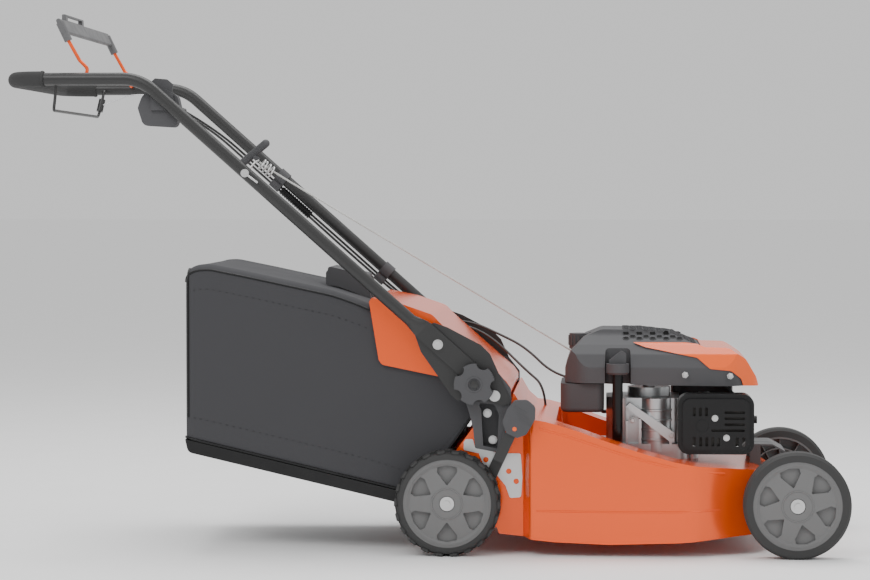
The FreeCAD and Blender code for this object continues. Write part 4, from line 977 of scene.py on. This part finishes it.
def grille_spots(shroud, cell):
    row_step = cell * 0.9
    spots = []
    rows = int((GRILLE_X[1] - GRILLE_X[0]) / 1000 / row_step) + 1
    for i in range(rows):
        x = GRILLE_X[0] + i * row_step * 1000
        shift = cell * 500 if i % 2 else 0
        y = -GRILLE_HALF + shift
        while y <= GRILLE_HALF:
            hit = shroud.ray_cast(at(x, y, 600), Vector((0, 0, -1)))
            if hit[0] is not None and hit[0].z > at(0, 0, 395).z:
                spots.append((hit[0], hit[1] if hit[1].z > 0 else -hit[1]))
            y += cell * 1000
    return spots


def make_grille(shroud, cell):
    """Six-sided openings shown as flat black discs of painted shade, with a raised lip round each.
    """
    spots = grille_spots(shroud, cell)
    radius = cell * 0.5
    lip = [(radius * 0.8, -0.0004), (radius * 1.04, -0.0004), (radius * 1.0, 0.0013),
           (radius * 0.86, 0.0013)]
    hole_shade = [(0.0, -0.0004), (radius * 0.84, -0.0004), (radius * 0.84, 0.0004), (0.0, 0.0004)]

    def build(profile):
        def fill(work):
            for spot, normal in spots:
                turn(work, profile, spot, normal, 6)
            bmesh.ops.remove_doubles(work, verts=work.verts, dist=0.00001)
        return fill

    new_piece("grille_lips", mesh_from("grille_lips", build(lip)), charcoal_plastic(), "chassis")
    # The openings are flat black discs laid on the shroud: painted shade, not holes.
    new_piece("grille_hole_shade", mesh_from("grille_hole_shade", build(hole_shade)), vent_black(), "chassis")


def make_fuel_hose():
    points = [at(300, 40, 272), at(300, 44, 258), at(330, 96, 262), at(400, 112, 268),
              at(460, 108, 262), at(486, 96, 256), at(494, 90, 256)]
    mesh = smooth_line("fuel_hose", points, 0.0042, 4)
    new_piece("fuel_hose", mesh, cable_rubber(), "chassis")


def make_screws():
    """Flanged hexagon screws on the engine's cover and the muffler's guard."""
    spots = [(at(366, -104, 256), Vector((0, -1, 0))), (at(444, -107, 226), Vector((0, -1, 0))),
             (at(470, -151.5, 352), Vector((0, -1, 0))), (at(560, -150, 350), Vector((0, -1, 0)))]
    for number, (spot, out) in enumerate(spots):
        profile = [(0.0, 0), (0.0068, 0), (0.0068, 0.0016), (0.0052, 0.0018), (0.005, 0.006),
                   (0.0042, 0.0068), (0.0, 0.0068)]
        turned("cover_screw_%d" % number, profile, spot, out, zinc(), "chassis", 6)


def make_barrel_ribs():
    """Cast ribs round the crankcase's upright barrel."""
    profile = []
    for i in range(4):
        base = 0.02 * i
        profile += [(0.0322, base), (0.034, base + 0.001), (0.034, base + 0.004),
                    (0.0322, base + 0.005)]
    profile += [(0.031, 0.066), (0.031, 0.0)]
    turned("barrel_ribs", profile, at(414, -74, 214), Vector((0, 0, 1)), cast_alloy(), "chassis",
           48)


# ---- Stage ---------------------------------------------------------------------------------

class MOWER_OT_stage(bpy.types.Operator):
    """Sets the pale floor, the soft lights and the camera"""
    bl_idname = "mower.stage"
    bl_label = "Stage"

    def execute(self, context):
        make_floor()
        make_lights()
        make_camera()
        return {"FINISHED"}


def make_floor():
    def build(work):
        bmesh.ops.create_grid(work, x_segments=2, y_segments=2, size=60)

    material = surface("pale_floor", (0.95, 0.95, 0.95), 0.75, grain=(40, 0.02, 0.0005), blotch=0.01)
    piece = new_piece("floor", mesh_from("floor", build), material)


def area_light(name, place, target, width, power):
    lamp = bpy.data.lights.new(name, "AREA")
    lamp.shape = "RECTANGLE"
    lamp.size = width
    lamp.size_y = width * 0.7
    lamp.energy = power
    holder = bpy.data.objects.new(name, lamp)
    bpy.context.scene.collection.objects.link(holder)
    holder.location = place
    holder.rotation_mode = "QUATERNION"
    holder.rotation_quaternion = (target - Vector(place)).to_track_quat("-Z", "Y")


def make_lights():
    middle = Vector((0, 0, 0.45))
    area_light("key_light", (-1.6, -3.0, 3.4), middle, 2.6, 75)
    area_light("fill_light", (2.8, -2.6, 2.0), middle, 2.4, 22)
    area_light("top_light", (0.2, 0.8, 3.6), middle, 3.0, 95)
    world = bpy.data.worlds.new("studio")
    bpy.context.scene.world = world
    world.use_nodes = True
    backdrop = world.node_tree.nodes["Background"]
    backdrop.inputs["Color"].default_value = (1, 1, 1, 1)
    backdrop.inputs["Strength"].default_value = 0.8


def make_camera():
    lens = bpy.data.cameras.new("camera")
    lens.lens = CAMERA_LENS
    lens.sensor_width = 36
    lens.clip_end = 200
    holder = bpy.data.objects.new("camera", lens)
    bpy.context.scene.collection.objects.link(holder)
    holder.location = CAMERA_PLACE
    holder.rotation_euler = (math.radians(90 - CAMERA_DOWN), 0, math.radians(CAMERA_TURN))
    bpy.context.scene.camera = holder


# ---- Panel and registration ----------------------------------------------------------------

PIECES = (MOWER_OT_finishes, MOWER_OT_tyres, MOWER_OT_bag, MOWER_OT_cables,
          MOWER_OT_handle_details, MOWER_OT_deck_details, MOWER_OT_engine_details, MOWER_OT_stage)


class MOWER_PT_panel(bpy.types.Panel):
    """Lists the mower's sizes, colours and the steps that build it"""
    bl_label = "Mower"
    bl_idname = "MOWER_PT_panel"
    bl_space_type = "VIEW_3D"
    bl_region_type = "UI"
    bl_category = "Mower"

    def draw(self, context):
        layout = self.layout
        for group in (context.scene.mower_finishes, context.scene.mower_sizes):
            for name in group.bl_rna.properties.keys():
                if name not in ("rna_type", "name"):
                    layout.prop(group, name)
        for piece in PIECES:
            layout.operator(piece.bl_idname)


CLASSES = (MowerFinishes, MowerSizes) + PIECES + (MOWER_PT_panel,)


def register():
    for made in CLASSES:
        bpy.utils.register_class(made)
    bpy.types.Scene.mower_finishes = bpy.props.PointerProperty(type=MowerFinishes)
    bpy.types.Scene.mower_sizes = bpy.props.PointerProperty(type=MowerSizes)


def unregister():
    del bpy.types.Scene.mower_sizes
    del bpy.types.Scene.mower_finishes
    for made in reversed(CLASSES):
        bpy.utils.unregister_class(made)


def main():
    register()
    bpy.ops.mower.finishes()
    bpy.ops.mower.tyres()
    bpy.ops.mower.bag()
    bpy.ops.mower.cables()
    bpy.ops.mower.handle_details()
    bpy.ops.mower.deck_details()
    bpy.ops.mower.engine_details()
    bpy.ops.mower.stage()


if __name__ == "__main__":
    main()
